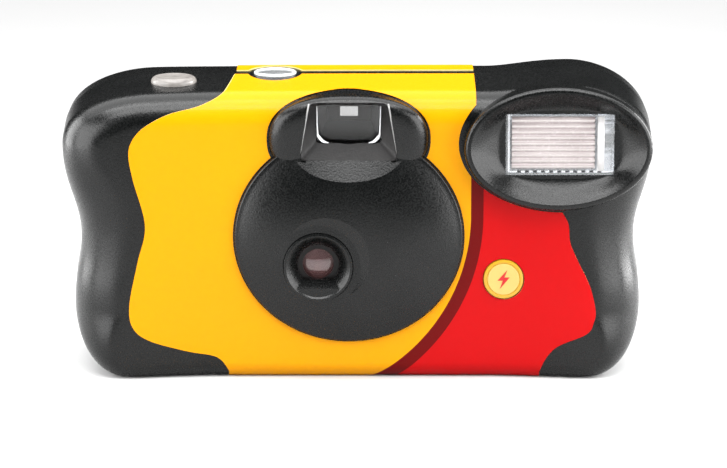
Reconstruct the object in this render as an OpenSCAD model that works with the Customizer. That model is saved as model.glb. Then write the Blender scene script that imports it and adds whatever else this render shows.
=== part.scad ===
// Disposable 35 mm film camera with a built-in flash, as separate named pieces.
// Millimetres. +Z up, the front faces -Y, origin at the middle of the footprint.

/* [Body] */
// overall width across the grip lobes
body_w = 120; // [119:0.5:124]
// height of the flat top
body_h = 59; // [58.6:0.2:62]
// overall depth from the lens panel to the thumbwheel
body_d = 37; // [36.8:0.2:39]
// wall thickness of both covers
wall = 1.6; // [1.3:0.1:1.7]
// how far the waist is drawn in on each side
waist_in = 4.3; // [2:0.1:4.6]
// how far the lower bulge is drawn in on each side
hip_in = 2.8; // [1:0.1:3]
// rise of the top over the flash
hump_rise = 1.4; // [0.8:0.1:2]
// swell of the grip lobes in front of the label face
lobe_rise = 2.3; // [1.5:0.1:2.6]
// joint between front and rear cover, behind the middle plane
seam_y = 6; // [5:0.5:7]
// thickness of the printed labels
label_t = 0.25; // [0.15:0.05:0.4]

/* [Lens panel] */
// width of the oval lens panel
panel_w = 46.7; // [44:0.1:48]
// height of the oval lens panel
panel_h = 41.6; // [39:0.1:42]
// how far the panel stands out of the label face
panel_proud = 4.8; // [4.6:0.1:5.2]
// sideways position of the optical axis
lens_x = -7.8; // [-8.5:0.1:-7.5]
// diameter of the lens bezel
bezel_d = 13.8; // [12.5:0.1:15]
// diameter of the taking lens
lens_d = 7.2; // [6.4:0.1:7.6]
// diameter of the aperture
aperture_d = 3; // [2:0.1:4]

/* [Viewfinder] */
// sideways position of the viewfinder
finder_x = -1.7; // [-2:0.1:-1]
// width of the viewfinder front lens
finder_w = 13.2; // [11:0.1:13.6]
// height of the viewfinder front lens
finder_h = 8.2; // [7:0.1:8.4]
// width of the eyepiece
eyepiece_w = 6; // [4:0.1:8]
// height of the eyepiece
eyepiece_h = 5; // [4:0.1:5.6]

/* [Flash] */
// width of the oval flash pod
pod_w = 38.4; // [36:0.1:38.8]
// height of the oval flash pod
pod_h = 24.8; // [23:0.1:25]
// width of the flash window
flash_w = 21.6; // [18:0.1:22]
// height of the flash window
flash_h = 13.4; // [11:0.1:13.8]
// diameter of the flash charge button
charge_d = 8; // [6.5:0.1:9]
// travel of the flash charge button
charge_travel = 1; // [0.6:0.1:1.1]
// diameter of the battery
battery_d = 14.2; // [10.5:0.1:14.5]
// length of the battery
battery_h = 50.5; // [44.5:0.1:50.5]

/* [Film] */
// diameter of the film cassette
cassette_d = 25; // [24:0.1:25.2]
// height of the film cassette
cassette_h = 42.8; // [42:0.1:43]
// width of the film
film_w = 35; // [34:0.1:35.4]
// width of the exposed frame
gate_w = 36; // [35:0.1:36.4]
// height of the exposed frame
gate_h = 24; // [22:0.1:24.4]
// diameter of the full supply roll
roll_d = 17.8; // [14:0.1:18]

/* [Controls] */
// diameter of the shutter button
button_d = 9.2; // [8:0.1:10]
// travel of the shutter button
button_travel = 1.1; // [0.6:0.1:1.2]
// thickness of the thumbwheel
wheel_t = 3.8; // [3:0.1:4]
// how far the thumbwheel stands out of the back
wheel_proud = 0.9; // [0.7:0.1:1.2]
// number of grip teeth on the thumbwheel
wheel_teeth = 60; // [48:2:72]
// diameter of the counter window
counter_d = 8.8; // [7:0.1:9.4]

/* [Hidden] */
$fn = 48;
black = "#2b2d2d";
chassis_grey = "#3a3a3c";
yellow = "#fec50d";
clear_tint = "#dfe9ee";
steel = "#b9bcc0";
fit = 0.05;
play = 0.15;
gap = 0.3;

half_w = body_w / 2;
front_y = -body_d / 2;
face_y = front_y + panel_proud;
rear_y = body_d / 2 - wheel_proud;
rear_in = rear_y - wall;
film_y = rear_in - 2.2;
film_t = 0.15;
floor_z = wall + 0.6;
lens_z = floor_z + cassette_h / 2;
film_z0 = lens_z - film_w / 2;
top_z = body_h + hump_rise;

deck_z = floor_z + cassette_h + 0.8;
deck_t = 1.5;
deck_top = deck_z + deck_t;
deck_y0 = -8;
wheel_z = deck_top + 0.6;
lever_z = wheel_z + wheel_t + 0.5;
lever_t = 1;
lever_top = lever_z + lever_t;

cassette_r = cassette_d / 2;
cassette_x = lens_x - gate_w / 2 - 11;
cassette_y = rear_in - 0.4 - cassette_r;
cassette_wall = 0.4;
hub_r = 5.5;
key_r = 3.4;
wheel_r = body_d / 2 - cassette_y;
slot_w = sqrt(pow(wheel_r, 2) - pow(rear_in - cassette_y, 2)) + gap;

roll_r = roll_d / 2;
core_r = 3.5;
chamber_r = 10.2;
chamber_wall = 1.2;
supply_x = lens_x + gate_w / 2 + 2.3 + chamber_r;
supply_y = film_y - film_t / 2 - fit - roll_r;
pin_r = 1.5;

sprocket_x = lens_x - 7.7;
sprocket_root = 5.8;
sprocket_tip = 7;
sprocket_y = film_y - film_t / 2 - play - sprocket_root;
sprocket_z = film_z0 + film_w - 3.4;
sprocket_t = 1.6;
cam_r = 3.2;

post_x = -16.7;
post_y = -1;
post_r = 1.5;
counter_r = 7.2;
counter_t = 1.2;
counter_z = lever_top + 1.2;
striker_z = wheel_z + 2.3;
striker_t = 1.4;
meter_x = -11.8;
meter_y = 11.2;
meter_r = 1.2;

button_x = -37;
button_y = -0.6;
button_top = body_h + 0.4;
cup_z = lever_top + 0.4;
cup_t = 0.7;
flange_z = body_h - wall - 1.9;

plate_y = deck_y0 - 0.6;
plate_t = 0.55;
blade_t = 0.45;
blade_y = plate_y - 0.45 - blade_t;
blade_x = lens_x - 7.7;
blade_z = lens_z + 9.4;
blade_pin_r = 1;
bezel_r = bezel_d / 2;
bezel_front = front_y + 0.25;
bezel_back = bezel_front + 3.3;
lens_y = face_y - 0.2;

panel_x = -1.9;
panel_z = lens_z + 4.5;
panel_edge = 1.2;
finder_z0 = deck_top + 0.4;
finder_zc = finder_z0 + finder_h / 2;
finder_front = face_y + 0.3;
hood_w = 33;
hood_h = 19.6;
hood_z = body_h - 1.4 - hood_h / 2;
hood_front = front_y + 1.6;
brow_z = body_h - 3;
ledge_y = front_y + 2.9;
ledge_z = lens_z + 21.6;
eyepiece_z0 = deck_top + 1.6;

pod_x = half_w - pod_w / 2 - 0.3;
pod_z = body_h + 0.8 - pod_h / 2;
pod_front = front_y + 0.7;
dish_y = pod_front + 3;
dish_floor = 1.4;
flash_x = pod_x + 0.3;
flash_z = pod_z + 1.1;
reflector_t = 0.4;
reflector_y0 = dish_y + dish_floor + 0.75;
reflector_y1 = -5.3;
tube_r = 1.5;
tube_y = reflector_y1 - 2.6;

charge_x = 29.3;
charge_z = lens_z - 3.2;
charge_front = face_y - 0.7;
contact_y = face_y + 3.6;
strip_t = 0.3;

battery_r = battery_d / 2;
battery_x = half_w - 15.6;
battery_y = rear_in - 0.4 - battery_r;
battery_z = wall + 1.8;
board_x0 = supply_x + chamber_r + chamber_wall + 0.6;
board_x1 = half_w - 8.5;
board_y = -2;
board_t = 1.2;
board_top = deck_top + 3.7;
lamp_x = board_x0 - 1;
lamp_z = board_top - 1.7;

door_x0 = cassette_x - cassette_r - 0.2;
door_x1 = cassette_x + cassette_r + 0.3;
door_y0 = cassette_y - cassette_r - 0.2;
door_y1 = rear_in - 0.6;
hinge_y = rear_in - 1.1;
hinge_z = 1.05;
door_inset = 0.4;
door_swing = norm([door_y1 - hinge_y, hinge_z - door_inset]);
hinge_r = 0.5;
lug_w = 1.4;

// Curve helpers

function bezier(p, t) =
  pow(1 - t, 3) * p[0] + 3 * t * pow(1 - t, 2) * p[1] + 3 * t * t * (1 - t) * p[2] + pow(t, 3) * p[3];
function bezier_slope(p, t) =
  pow(1 - t, 2) * (p[1] - p[0]) + 2 * t * (1 - t) * (p[2] - p[1]) + t * t * (p[3] - p[2]);
function smooth(t) = let (c = min(max(t, 0), 1)) c * c * (3 - 2 * c);

// Outline of the body seen from the front: point, handle, front fillet, rear fillet, draft
knots = [
  [[-46, 0], [7.5, 0], 3.2, 2, 0],
  [[46, 0], [7.5, 0], 3.2, 2, 0],
  [[half_w - hip_in, 14], [0, 7], 11, 4, 0.6],
  [[half_w - waist_in, 28.2], [0, 6.5], 11, 4, 0.6],
  [[half_w, 46], [0, 7.8], 11, 4, 0.6],
  [[43, top_z], [-7.5, 0], 6, 4, 1.2],
  [[26, body_h], [-5, 0], 6, 4, 1.2],
  [[-42, body_h - 0.3], [-7, -0.3], 6, 4, 1.2],
  [[-half_w, 46], [0, -7.8], 12, 4, 0.6],
  [[waist_in - half_w, 28.2], [0, -6.5], 11, 4, 0.6],
  [[hip_in - half_w, 14], [0, -7], 11, 4, 0.6]
];
outline_steps = 7;
outline_count = len(knots) * outline_steps;

function outline_at(i) =
  let (
    k = floor(i / outline_steps),
    a = knots[k],
    b = knots[(k + 1) % len(knots)],
    t = i / outline_steps - k,
    p = [a[0], a[0] + a[1], b[0] - b[1], b[0]],
    s = bezier_slope(p, t),
    n = [s[1], -s[0]] / norm(s),
    m = smooth(t)
  )
  [bezier(p, t), n, a[2] + (b[2] - a[2]) * m, a[3] + (b[3] - a[3]) * m, a[4] + (b[4] - a[4]) * m];
outline = [for (i = [0:outline_count - 1]) outline_at(i)];

function outline_inset(d) = [for (o = outline) o[0] - d * o[1]];

// Front face depth: flat behind the label, swollen at the grip lobes
function lobe(x) = lobe_rise * smooth((abs(x) - 26) / 24);
function front_face(p) = face_y - lobe(p[0]);

// One ring of the front skin pushed out by d: a is the inset along the fillet, 0 to 90 degrees
function front_fillet_ring(d, angle) = [
  for (o = outline)
    let (
      q = o[0] - (o[4] + o[2]) * o[1],
      p = q + (o[2] + d) * cos(angle) * o[1],
      y = front_face(q) + o[2] - (o[2] + d) * sin(angle)
    )
    [p[0], y, p[1]]
];
function seam_ring(d, y) = [for (o = outline) let (p = o[0] + d * o[1]) [p[0], y, p[1]]];
cap_centre = [0, body_h / 2];
function front_cap_ring(d, s) = [
  for (o = outline)
    let (p = cap_centre + s * (o[0] - (o[4] + o[2]) * o[1] - cap_centre))
    [p[0], front_face(p) - d, p[1]]
];
function rear_fillet_ring(d, angle) = [
  for (o = outline)
    let (p = o[0] + ((o[3] + d) * cos(angle) - o[3]) * o[1])
    [p[0], rear_y - o[3] + (o[3] + d) * sin(angle), p[1]]
];

// Closed solid through a stack of rings with a point at each end. Past ring number turn the rings run
// back inside the first ones, and their quads are split the other way, so that both skins lie parallel
module ring_solid(first, rings, last, turn = 1000) {
  n = len(rings[0]);
  m = len(rings);
  function quad(a, b, c, d, k) = k < turn ? [[a, b, c], [a, c, d]] : [[a, b, d], [b, c, d]];
  points = concat([first], [for (r = rings) for (p = r) p], [last]);
  faces = concat(
    [for (i = [0:n - 1]) [0, 1 + (i + 1) % n, 1 + i]],
    [for (k = [0:m - 2]) for (i = [0:n - 1])
      let (j = (i + 1) % n, here = 1 + k * n, next = here + n)
      each quad(here + i, here + j, next + j, next + i, k)],
    [for (i = [0:n - 1]) [1 + m * n, 1 + (m - 1) * n + i, 1 + (m - 1) * n + (i + 1) % n]]
  );
  polyhedron(points, faces, convexity = 8);
}

fillet_angles = [75, 55, 35, 15, 0];
cap_scales = [0.35, 0.65, 0.8, 0.9, 1];
function front_rings(d) = concat(
  [for (s = cap_scales) front_cap_ring(d, s)],
  [for (a = fillet_angles) front_fillet_ring(d, a)],
  [seam_ring(d, seam_y)]
);
function rear_rings(d) = concat(
  [for (a = [90, 60, 30, 0]) rear_fillet_ring(d, a)],
  [seam_ring(d, seam_y + play)]
);
function reversed(list) = [for (i = [len(list) - 1:-1:0]) list[i]];

// Shell between two offsets of the body skin
module front_shell(outer, inner) {
  ring_solid([cap_centre[0], face_y - outer, cap_centre[1]],
    concat(front_rings(outer), reversed(front_rings(inner))),
    [cap_centre[0], face_y - inner, cap_centre[1]], len(front_rings(outer)));
}
module rear_shell(outer, inner) {
  mirror([0, 1, 0])
    ring_solid([cap_centre[0], -rear_y - outer, cap_centre[1]],
      [for (r = concat(rear_rings(outer), reversed(rear_rings(inner)))) [for (p = r) [p[0], -p[1], p[2]]]],
      [cap_centre[0], -rear_y - inner, cap_centre[1]], len(rear_rings(outer)));
}

// Oval ring in a plane of constant depth; power 2 is an ellipse, more is squarer
oval_count = 48;
function oval(x, z, rx, rz, y, power = 2) = [
  for (i = [0:oval_count - 1])
    let (
      a = 360 * i / oval_count,
      k = pow(pow(abs(cos(a)), power) + pow(abs(sin(a)), power), -1 / power)
    )
    [x + rx * k * cos(a), y, z + rz * k * sin(a)]
];

module panel_solid(d, back) {
  rx = panel_w / 2 + d;
  rz = panel_h / 2 + d;
  rise = panel_proud - panel_edge;
  hull() ring_solid([panel_x, front_y - d, panel_z],
    concat(
      [for (s = [0.25, 0.45, 0.62, 0.76, 0.88, 0.96, 1])
        oval(panel_x, panel_z, rx * s, rz * s, front_y - d + rise * pow(s, 2.4))],
      [oval(panel_x, panel_z, rx, rz, back)]
    ),
    [panel_x, back, panel_z]);
}

// Backs of the hood and the pod stay just inside the wall and run further back round the top and the side
function hood_back(p) = face_y + 1.4 + 4.6 * smooth((p[2] - body_h + 11) / 8);
function pod_back(p) = face_y + 1.4 + 9 * max(smooth((p[0] - half_w + 24) / 22), smooth((p[2] - body_h + 9) / 8));
// How far the hood's front leans back below its brow
function hood_lean(z) = 0.14 * min(max(brow_z - z, 0), 16);
module hood_solid() {
  profile = [[0.7, 0.05], [0.86, 0.4], [0.95, 1.2], [1, 2.8]];
  edge = oval(finder_x, hood_z, hood_w / 2, hood_h / 2, 0, 2.4);
  hull() ring_solid([finder_x, hood_front + hood_lean(hood_z), hood_z],
    concat(
      [for (s = profile)
        [for (p = oval(finder_x, hood_z, hood_w / 2 * s[0], hood_h / 2 * s[0], hood_front + s[1], 2.4))
          p + [0, hood_lean(p[2]), 0]]],
      [[for (p = edge) [p[0], hood_back(p), p[2]]]]
    ),
    [finder_x, face_y + 1.4, hood_z]);
}

module pod_solid() {
  profile = [[-0.9, 0], [-0.3, 0.25], [0, 0.9]];
  edge = oval(pod_x, pod_z, pod_w / 2 + 0.3, pod_h / 2 + 0.3, 0);
  hull() ring_solid([pod_x, pod_front, pod_z],
    concat(
      [for (s = profile) oval(pod_x, pod_z, pod_w / 2 + s[0], pod_h / 2 + s[0], pod_front + s[1])],
      [[for (p = edge) [p[0], pod_back(p), p[2]]]]
    ),
    [pod_x, face_y + 1.4, pod_z]);
}
module pod_dish() {
  hull() ring_solid([flash_x, pod_front - 1, flash_z], [
      oval(pod_x, pod_z, pod_w / 2 - 1, pod_h / 2 - 1, pod_front - 1),
      oval(pod_x, pod_z, pod_w / 2 - 1.2, pod_h / 2 - 1.2, pod_front + 0.2),
      oval(pod_x, pod_z + 0.3, pod_w / 2 - 3.2, pod_h / 2 - 2.4, pod_front + 1.6),
      oval(flash_x, flash_z, flash_w / 2 + 1.2, flash_h / 2 + 0.8, dish_y, 5)
    ],
    [flash_x, dish_y, flash_z]);
}
module pod_void() {
  y0 = dish_y + dish_floor;
  hull() ring_solid([pod_x, y0, pod_z], [
      oval(pod_x, pod_z, pod_w / 2 - wall - 1, pod_h / 2 - wall - 1, y0, 3),
      oval(pod_x, pod_z, pod_w / 2 - wall - 0.3, pod_h / 2 - wall - 0.8, face_y + 12)
    ],
    [pod_x, face_y + 12, pod_z]);
}

// Box given by its two opposite corners
module block(a, b) {
  translate(a) cube(b - a);
}
// Cylinder along +Y
module rod_y(r, y0, y1, r2 = -1) {
  translate([0, y0, 0]) rotate([-90, 0, 0]) cylinder(r1 = r, r2 = r2 < 0 ? r : r2, h = y1 - y0);
}
// Cylinder along +X
module rod_x(r, x0, x1) {
  translate([x0, 0, 0]) rotate([0, 90, 0]) cylinder(r = r, h = x1 - x0);
}
// Flat bar of width w between two points, round at both ends
module bar(a, b, w) {
  v = b - a;
  translate(a) rotate(atan2(v[1], v[0])) translate([0, -w / 2]) square([norm(v), w]);
  translate(a) circle(d = w);
  translate(b) circle(d = w);
}
// Turns a drawing in X and Z into a plate from y0 to y1
module plate_xz(y0, y1) {
  translate([0, y1, 0]) rotate([90, 0, 0]) linear_extrude(y1 - y0) children();
}
// Wound wire from z = 0 up to height h
module coil(r, wire, h, turns) {
  per_turn = 12;
  sides = 6;
  steps = turns * per_turn;
  rise = h - wire;
  function ring(k) = [
    for (j = [0:sides - 1])
      let (a = 360 * k / per_turn, b = 360 * j / sides, q = r + wire / 2 * cos(b))
      [q * cos(a), q * sin(a), wire / 2 + rise * k / steps + wire / 2 * sin(b)]
  ];
  function centre(k) = let (a = 360 * k / per_turn) [r * cos(a), r * sin(a), wire / 2 + rise * k / steps];
  ring_solid(centre(0), [for (k = [0:steps]) ring(k)], centre(steps));
}

// Covers and labels

// Slice of the viewfinder recess at depth y, with its half widths at the heights low and high
module recess_slice(y, low, high, half_low, half_high) {
  plate_xz(y, y + 0.1) polygon([[finder_x - half_low, low], [finder_x + half_low, low],
    [finder_x + half_high, high], [finder_x - half_high, high]]);
}
module recess_mouth() {
  recess_slice(ledge_y, ledge_z - 0.06, finder_z0 + finder_h + 0.1, finder_w / 2 + 3.1, finder_w / 2 + 1.4);
}
module finder_recess() {
  hull() {
    recess_slice(finder_front - 0.1, finder_z0 + 0.3, finder_z0 + finder_h - 0.2, finder_w / 2, finder_w / 2);
    recess_mouth();
  }
  hull() {
    recess_mouth();
    recess_slice(front_y - 1.3, ledge_z - 0.06, finder_z0 + finder_h + 0.4, finder_w / 2 + 4.6, finder_w / 2 + 2.8);
  }
}
// Sloping plane below the recess that cuts a crescent off the top of the lens panel
module panel_ledge() {
  drop = 7;
  half = hood_w / 2;
  hull() {
    block([finder_x - half, front_y - 1, ledge_z - 0.1], [finder_x + half, ledge_y, ledge_z]);
    block([finder_x - half, front_y - 1, ledge_z - drop], [finder_x + half, ledge_y - drop / 2, ledge_z - drop + 0.1]);
  }
}
// Room behind the hood for the swing of the shutter blade's tab
module blade_room() {
  tab_z = blade_z + blade_tab;
  block([blade_x - 6.5, blade_y - gap, tab_z - 4], [finder_x - finder_w / 2 - 1.7, blade_y + 3, tab_z + 2]);
}

module cassette_opening(y0, y1) {
  block([door_x0 - play, y0, -1], [door_x1 + play, y1, wall + 0.7]);
}

module button_cup() {
  translate([button_x, button_y, cup_z]) difference() {
    cylinder(r = button_d / 2 + 1.8, h = body_h - 1.4 - cup_z);
    translate([0, 0, cup_t]) cylinder(r = button_d / 2 + 1.1, h = 10);
    translate([0, 0, -1]) cylinder(r = 1.6 + play, h = 5);
  }
}

// Snap hooks inside the front cover that reach behind the rim of the rear cover: side is 1 at the top
module snap_hook(x, side) {
  z = side > 0 ? body_h - wall : wall;
  hull() {
    block([x - 2, seam_y - 4, z - (side > 0 ? 1.2 : 0.15)], [x + 2, seam_y - 2.5, z + (side > 0 ? 0.15 : 1.2)]);
    block([x - 2, seam_y + 2, z - (side > 0 ? 1.2 : -0.35)], [x + 2, seam_y + 2.2, z + (side > 0 ? -0.35 : 1.2)]);
  }
}

module front_cover() {
  color(black) difference() {
    union() {
      front_shell(0, -wall);
      panel_solid(0, face_y + wall / 2);
      hood_solid();
      pod_solid();
      button_cup();
      for (x = [12, 24]) snap_hook(x, 1);
      for (x = [-12, 4]) snap_hook(x, -1);
    }
    panel_solid(-wall, face_y + wall + 1);
    pod_void();
    pod_dish();
    panel_ledge();
    finder_recess();
    blade_room();
    block([finder_x - finder_w / 2 - 0.9, finder_front - 0.01, deck_top - 0.3],
      [finder_x + finder_w / 2 + 0.9, 0, finder_z0 + finder_h + 0.3]);
    translate([lens_x, 0, lens_z]) rod_y(bezel_r + play, front_y - 1, face_y);
    translate([charge_x, 0, charge_z]) rod_y(charge_d / 2 + play, face_y - 2, face_y + wall + 1);
    block([flash_x - flash_w / 2 - play, dish_y - 1, flash_z - flash_h / 2 - play],
      [flash_x + flash_w / 2 + play, dish_y + 3, flash_z + flash_h / 2 + play]);
    translate([button_x, button_y, flange_z]) cylinder(r = button_d / 2 + play, h = 10);
    translate([post_x, seam_y, body_h - 6]) cylinder(r = counter_d / 2 + play, h = 10);
    cassette_opening(door_y0 - play, seam_y + 1);
  }
}

module rear_cover() {
  color(black) difference() {
    union() {
      rear_shell(0, -wall);
      for (x = [door_x0 + 3, door_x1 - 1 - lug_w])
        block([x, hinge_y - 1, 0.4], [x + lug_w, rear_in + 0.4, hinge_z + 1.2]);
    }
    block([cassette_x - slot_w, rear_in - 3, wheel_z - gap], [cassette_x + slot_w, rear_y + 1, wheel_z + wheel_t + gap]);
    block([finder_x - eyepiece_w / 2 - play, rear_in - 1, eyepiece_z0 - play],
      [finder_x + eyepiece_w / 2 + play, rear_y + 1, eyepiece_z0 + eyepiece_h + play]);
    translate([lamp_x, 0, lamp_z]) rod_y(1.4 + play, rear_in - 1, rear_y + 1);
    translate([post_x, seam_y, body_h - 6]) cylinder(r = counter_d / 2 + play, h = 10);
    difference() {
      cassette_opening(seam_y - 1, hinge_y + door_swing + play);
      for (x = [door_x0 + 3, door_x1 - 1 - lug_w])
        block([x, hinge_y - 1, 0.4], [x + lug_w, rear_in + 2, hinge_z + 1.2]);
    }
    translate([0, hinge_y, hinge_z]) rod_x(hinge_r + fit, door_x0 + 2, door_x1);
  }
}

// Edges of the front label from the bottom up: height, left edge, right edge
label_rows = [
  [0.5, -26, 36.7], [2, -26, 36.7], [4.3, -28.3, 37.9], [6.5, -38, 40], [10.5, -45, 46.8],
  [15.5, -46.4, 48], [24, -44.8, 44.6], [31.6, -43.6, 42.7], [41.6, -46, 42], [47, -46.8, 42],
  [52.8, -43.8, 36], [55.3, -38.3, 28], [57.8, -29, 23.6], [60, -26.7, 23.6], [66, -26.7, 23.6]
];
function label_point(row, side) = [label_rows[row][side] * body_w / 120, label_rows[row][0] * body_h / 59];
module oval_cut(x, z, rx, rz, power = 2) {
  plate_xz(front_y - 2, seam_y) polygon([for (p = oval(x, z, rx, rz, 0, power)) [p[0], p[2]]]);
}
module front_label() {
  under = 0.12;
  color(yellow) difference() {
    intersection() {
      front_shell(under + label_t, under);
      plate_xz(front_y - 2, seam_y + 1)
        for (k = [0:len(label_rows) - 2])
          hull() polygon([label_point(k, 1), label_point(k, 2), label_point(k + 1, 2), label_point(k + 1, 1)]);
    }
    oval_cut(panel_x, panel_z, panel_w / 2 + 0.4, panel_h / 2 + 0.4);
    oval_cut(finder_x, hood_z, hood_w / 2 + 0.4, hood_h / 2 + 0.4, 2.4);
    oval_cut(pod_x, pod_z, pod_w / 2 + 1.5, pod_h / 2 + 1.3);
    translate([charge_x, 0, charge_z]) rod_y(charge_d / 2 + gap, face_y - 2, face_y + 1);
    translate([post_x, seam_y, body_h - 6]) cylinder(r = counter_d / 2 + 0.8, h = 10);
  }
}
module rear_label() {
  color(yellow) difference() {
    intersection() {
      rear_shell(label_t, 0);
      union() {
        block([-45, seam_y, 6], [46, rear_y + 2, deck_top - 4]);
        block([-24.5, seam_y, deck_top - 4.1], [23.6, rear_y + 2, body_h + 2]);
      }
    }
    block([finder_x - eyepiece_w / 2 - 1.5, rear_y - 1, eyepiece_z0 - 1.5],
      [finder_x + eyepiece_w / 2 + 1.5, rear_y + 2, eyepiece_z0 + eyepiece_h + 1.5]);
    translate([post_x, seam_y, body_h - 6]) cylinder(r = counter_d / 2 + 0.8, h = 10);
  }
}
module film_door() {
  color(black) {
    difference() {
      union() {
        plate_xz(door_y0, door_y1) intersection() {
          difference() {
            polygon(outline_inset(door_inset));
            polygon(outline_inset(1.6));
          }
          translate([door_x0, -1]) square([door_x1 - door_x0, wall + 1.5]);
        }
        translate([0, hinge_y, hinge_z]) rod_x(0.62, door_x0 + 5, door_x1 - 3);
      }
      for (x = [door_x0 + 3, door_x1 - 1 - lug_w])
        block([x - gap, hinge_y - 2.4, -1], [x + lug_w + gap, rear_in + 1, 5]);
    }
    translate([0, hinge_y, hinge_z]) rod_x(hinge_r, door_x0 + 2.6, door_x1 - 0.6);
  }
}

// Controls

module shutter_button() {
  color("#b9b7b0") translate([button_x, button_y, 0]) {
    difference() {
      translate([0, 0, flange_z]) cylinder(d = button_d, h = button_top - flange_z);
      translate([0, 0, button_top + 29.6]) sphere(r = 30);
    }
    translate([0, 0, flange_z]) cylinder(r = button_d / 2 + 0.9, h = 0.7);
    translate([0, 0, lever_top + button_travel + gap])
      cylinder(r = 1.6, h = button_top - 1 - lever_top - button_travel - gap);
  }
}
module button_spring() {
  color(steel) translate([button_x, button_y, cup_z + cup_t + 0.02])
    coil(3, 0.3, flange_z - cup_z - cup_t - 0.04, 2);
}
module counter_window() {
  color(clear_tint) translate([post_x, seam_y, 0]) {
    translate([0, 0, body_h - wall - 1]) cylinder(r = counter_d / 2, h = wall + 0.9);
    intersection() {
      translate([0, 0, body_h - 0.1]) cylinder(r = counter_d / 2, h = 3);
      translate([0, 0, body_h + 0.6 - 16]) sphere(r = 16);
    }
  }
}
module flash_charge_button() {
  color(yellow) translate([charge_x, 0, charge_z]) {
    rod_y(charge_d / 2, charge_front, face_y + wall + gap);
    rod_y(charge_d / 2 + 0.9, face_y + wall + 0.1, face_y + wall + 0.8);
    rod_y(1.6, face_y + wall + 0.5, contact_y);
  }
}
module charge_contact_plate() {
  color("#c9a24a") translate([charge_x, 0, charge_z]) rod_y(2, contact_y, contact_y + strip_t);
}
module charge_switch_blades() {
  y = contact_y + strip_t + charge_travel + 0.2;
  color("#c9a24a") for (z = [charge_z - 1.7, charge_z + 0.5]) {
    block([charge_x - 1.8, y, z], [board_x0 + 1.6, y + strip_t, z + 1.2]);
    block([board_x0 + 1.3, y, z], [board_x0 + 1.6, board_y - fit, z + 1.2]);
  }
}

// Viewfinder and lens

module viewfinder_front_lens() {
  w = finder_w / 2;
  color(clear_tint) difference() {
    block([finder_x - w, finder_front, finder_z0], [finder_x + w, finder_front + 2, finder_z0 + finder_h]);
    translate([finder_x, finder_front - 23.4, finder_zc]) sphere(r = 24, $fn = 200);
  }
}
module viewfinder_frame() {
  w = finder_w / 2;
  y0 = finder_front + 2 + fit;
  y1 = rear_in - 1.9;
  z1 = finder_z0 + finder_h - 0.5;
  color(chassis_grey) difference() {
    block([finder_x - w - 0.7, y0, deck_top + fit], [finder_x + w + 0.7, y1, z1 + 0.6]);
    block([finder_x - w + 0.2, y0 - 1, finder_z0 + 0.2], [finder_x + w - 0.2, y1 - 0.8, z1 - 0.2]);
    block([finder_x - eyepiece_w / 2 + 0.4, y0, eyepiece_z0 + 0.4],
      [finder_x + eyepiece_w / 2 - 0.4, y1 + 1, eyepiece_z0 + eyepiece_h - 0.4]);
  }
}
module viewfinder_eyepiece() {
  w = eyepiece_w / 2;
  color(clear_tint)
    block([finder_x - w, rear_in - 1.85, eyepiece_z0], [finder_x + w, rear_y - 0.5, eyepiece_z0 + eyepiece_h]);
}
module lens_bezel() {
  color(black) translate([lens_x, 0, lens_z]) {
    difference() {
      rod_y(bezel_r, bezel_front, bezel_back);
      rod_y(bezel_r - 0.6, bezel_front - 0.01, bezel_front + 2.6, bezel_r * 0.6);
      rod_y(bezel_r * 0.6, bezel_front + 2, bezel_back + 1);
    }
    intersection() {
      rod_y(bezel_r - 0.3, bezel_front + 1.2, bezel_back);
      block([-bezel_r, bezel_front, -bezel_r], [bezel_r, bezel_back, -bezel_r * 0.46]);
    }
  }
}
module taking_lens() {
  color(clear_tint) translate([lens_x, 0, lens_z]) intersection() {
    rod_y(lens_d / 2, lens_y, lens_y + 2.2);
    translate([0, lens_y + 8, 0]) sphere(r = 8);
  }
}
module lens_holder() {
  r = lens_d / 2;
  y1 = blade_y - 0.7;
  color(chassis_grey) translate([lens_x, 0, lens_z]) {
    difference() {
      union() {
        rod_y(r + 1.9, lens_y - 0.5, y1);
        block([-3.5, lens_y - 0.5, -9.6], [3.5, y1, -r - 1]);
      }
      rod_y(r + fit, lens_y - 0.1, lens_y + 2.2 + fit);
      rod_y(r - 0.5, lens_y - 1, y1 + 1);
    }
    block([-3.5, y1 - 0.1, -9.6], [3.5, plate_y - fit, -6.4]);
  }
}
module aperture_plate() {
  color("#55585c") difference() {
    union() {
      block([blade_x - 2, plate_y, lens_z - 11.5], [lens_x + 8, plate_y + plate_t, blade_z + 3]);
      translate([blade_x, 0, blade_z]) rod_y(blade_pin_r, blade_y - 2.6, plate_y + plate_t);
    }
    translate([lens_x, 0, lens_z]) rod_y(aperture_d / 2, plate_y - 1, plate_y + 1);
  }
}
blade_tab = 18;
module shutter_blade() {
  pivot = [blade_x, blade_z];
  color("#1d1d1f") plate_xz(blade_y, blade_y + blade_t) difference() {
    union() {
      translate([lens_x, lens_z]) circle(r = 3);
      bar(pivot, [lens_x, lens_z], 2.6);
      translate(pivot) circle(r = 2.3);
      bar(pivot, pivot + blade_tab * [cos(105), sin(105)], 2.2);
    }
    translate(pivot) circle(r = blade_pin_r + fit);
  }
}
module shutter_spring() {
  color(steel) translate([blade_x, blade_y - 2.4, blade_z]) rotate([-90, 0, 0]) coil(1.5, 0.3, 2.3, 4);
}

// Chassis and film path

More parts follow.
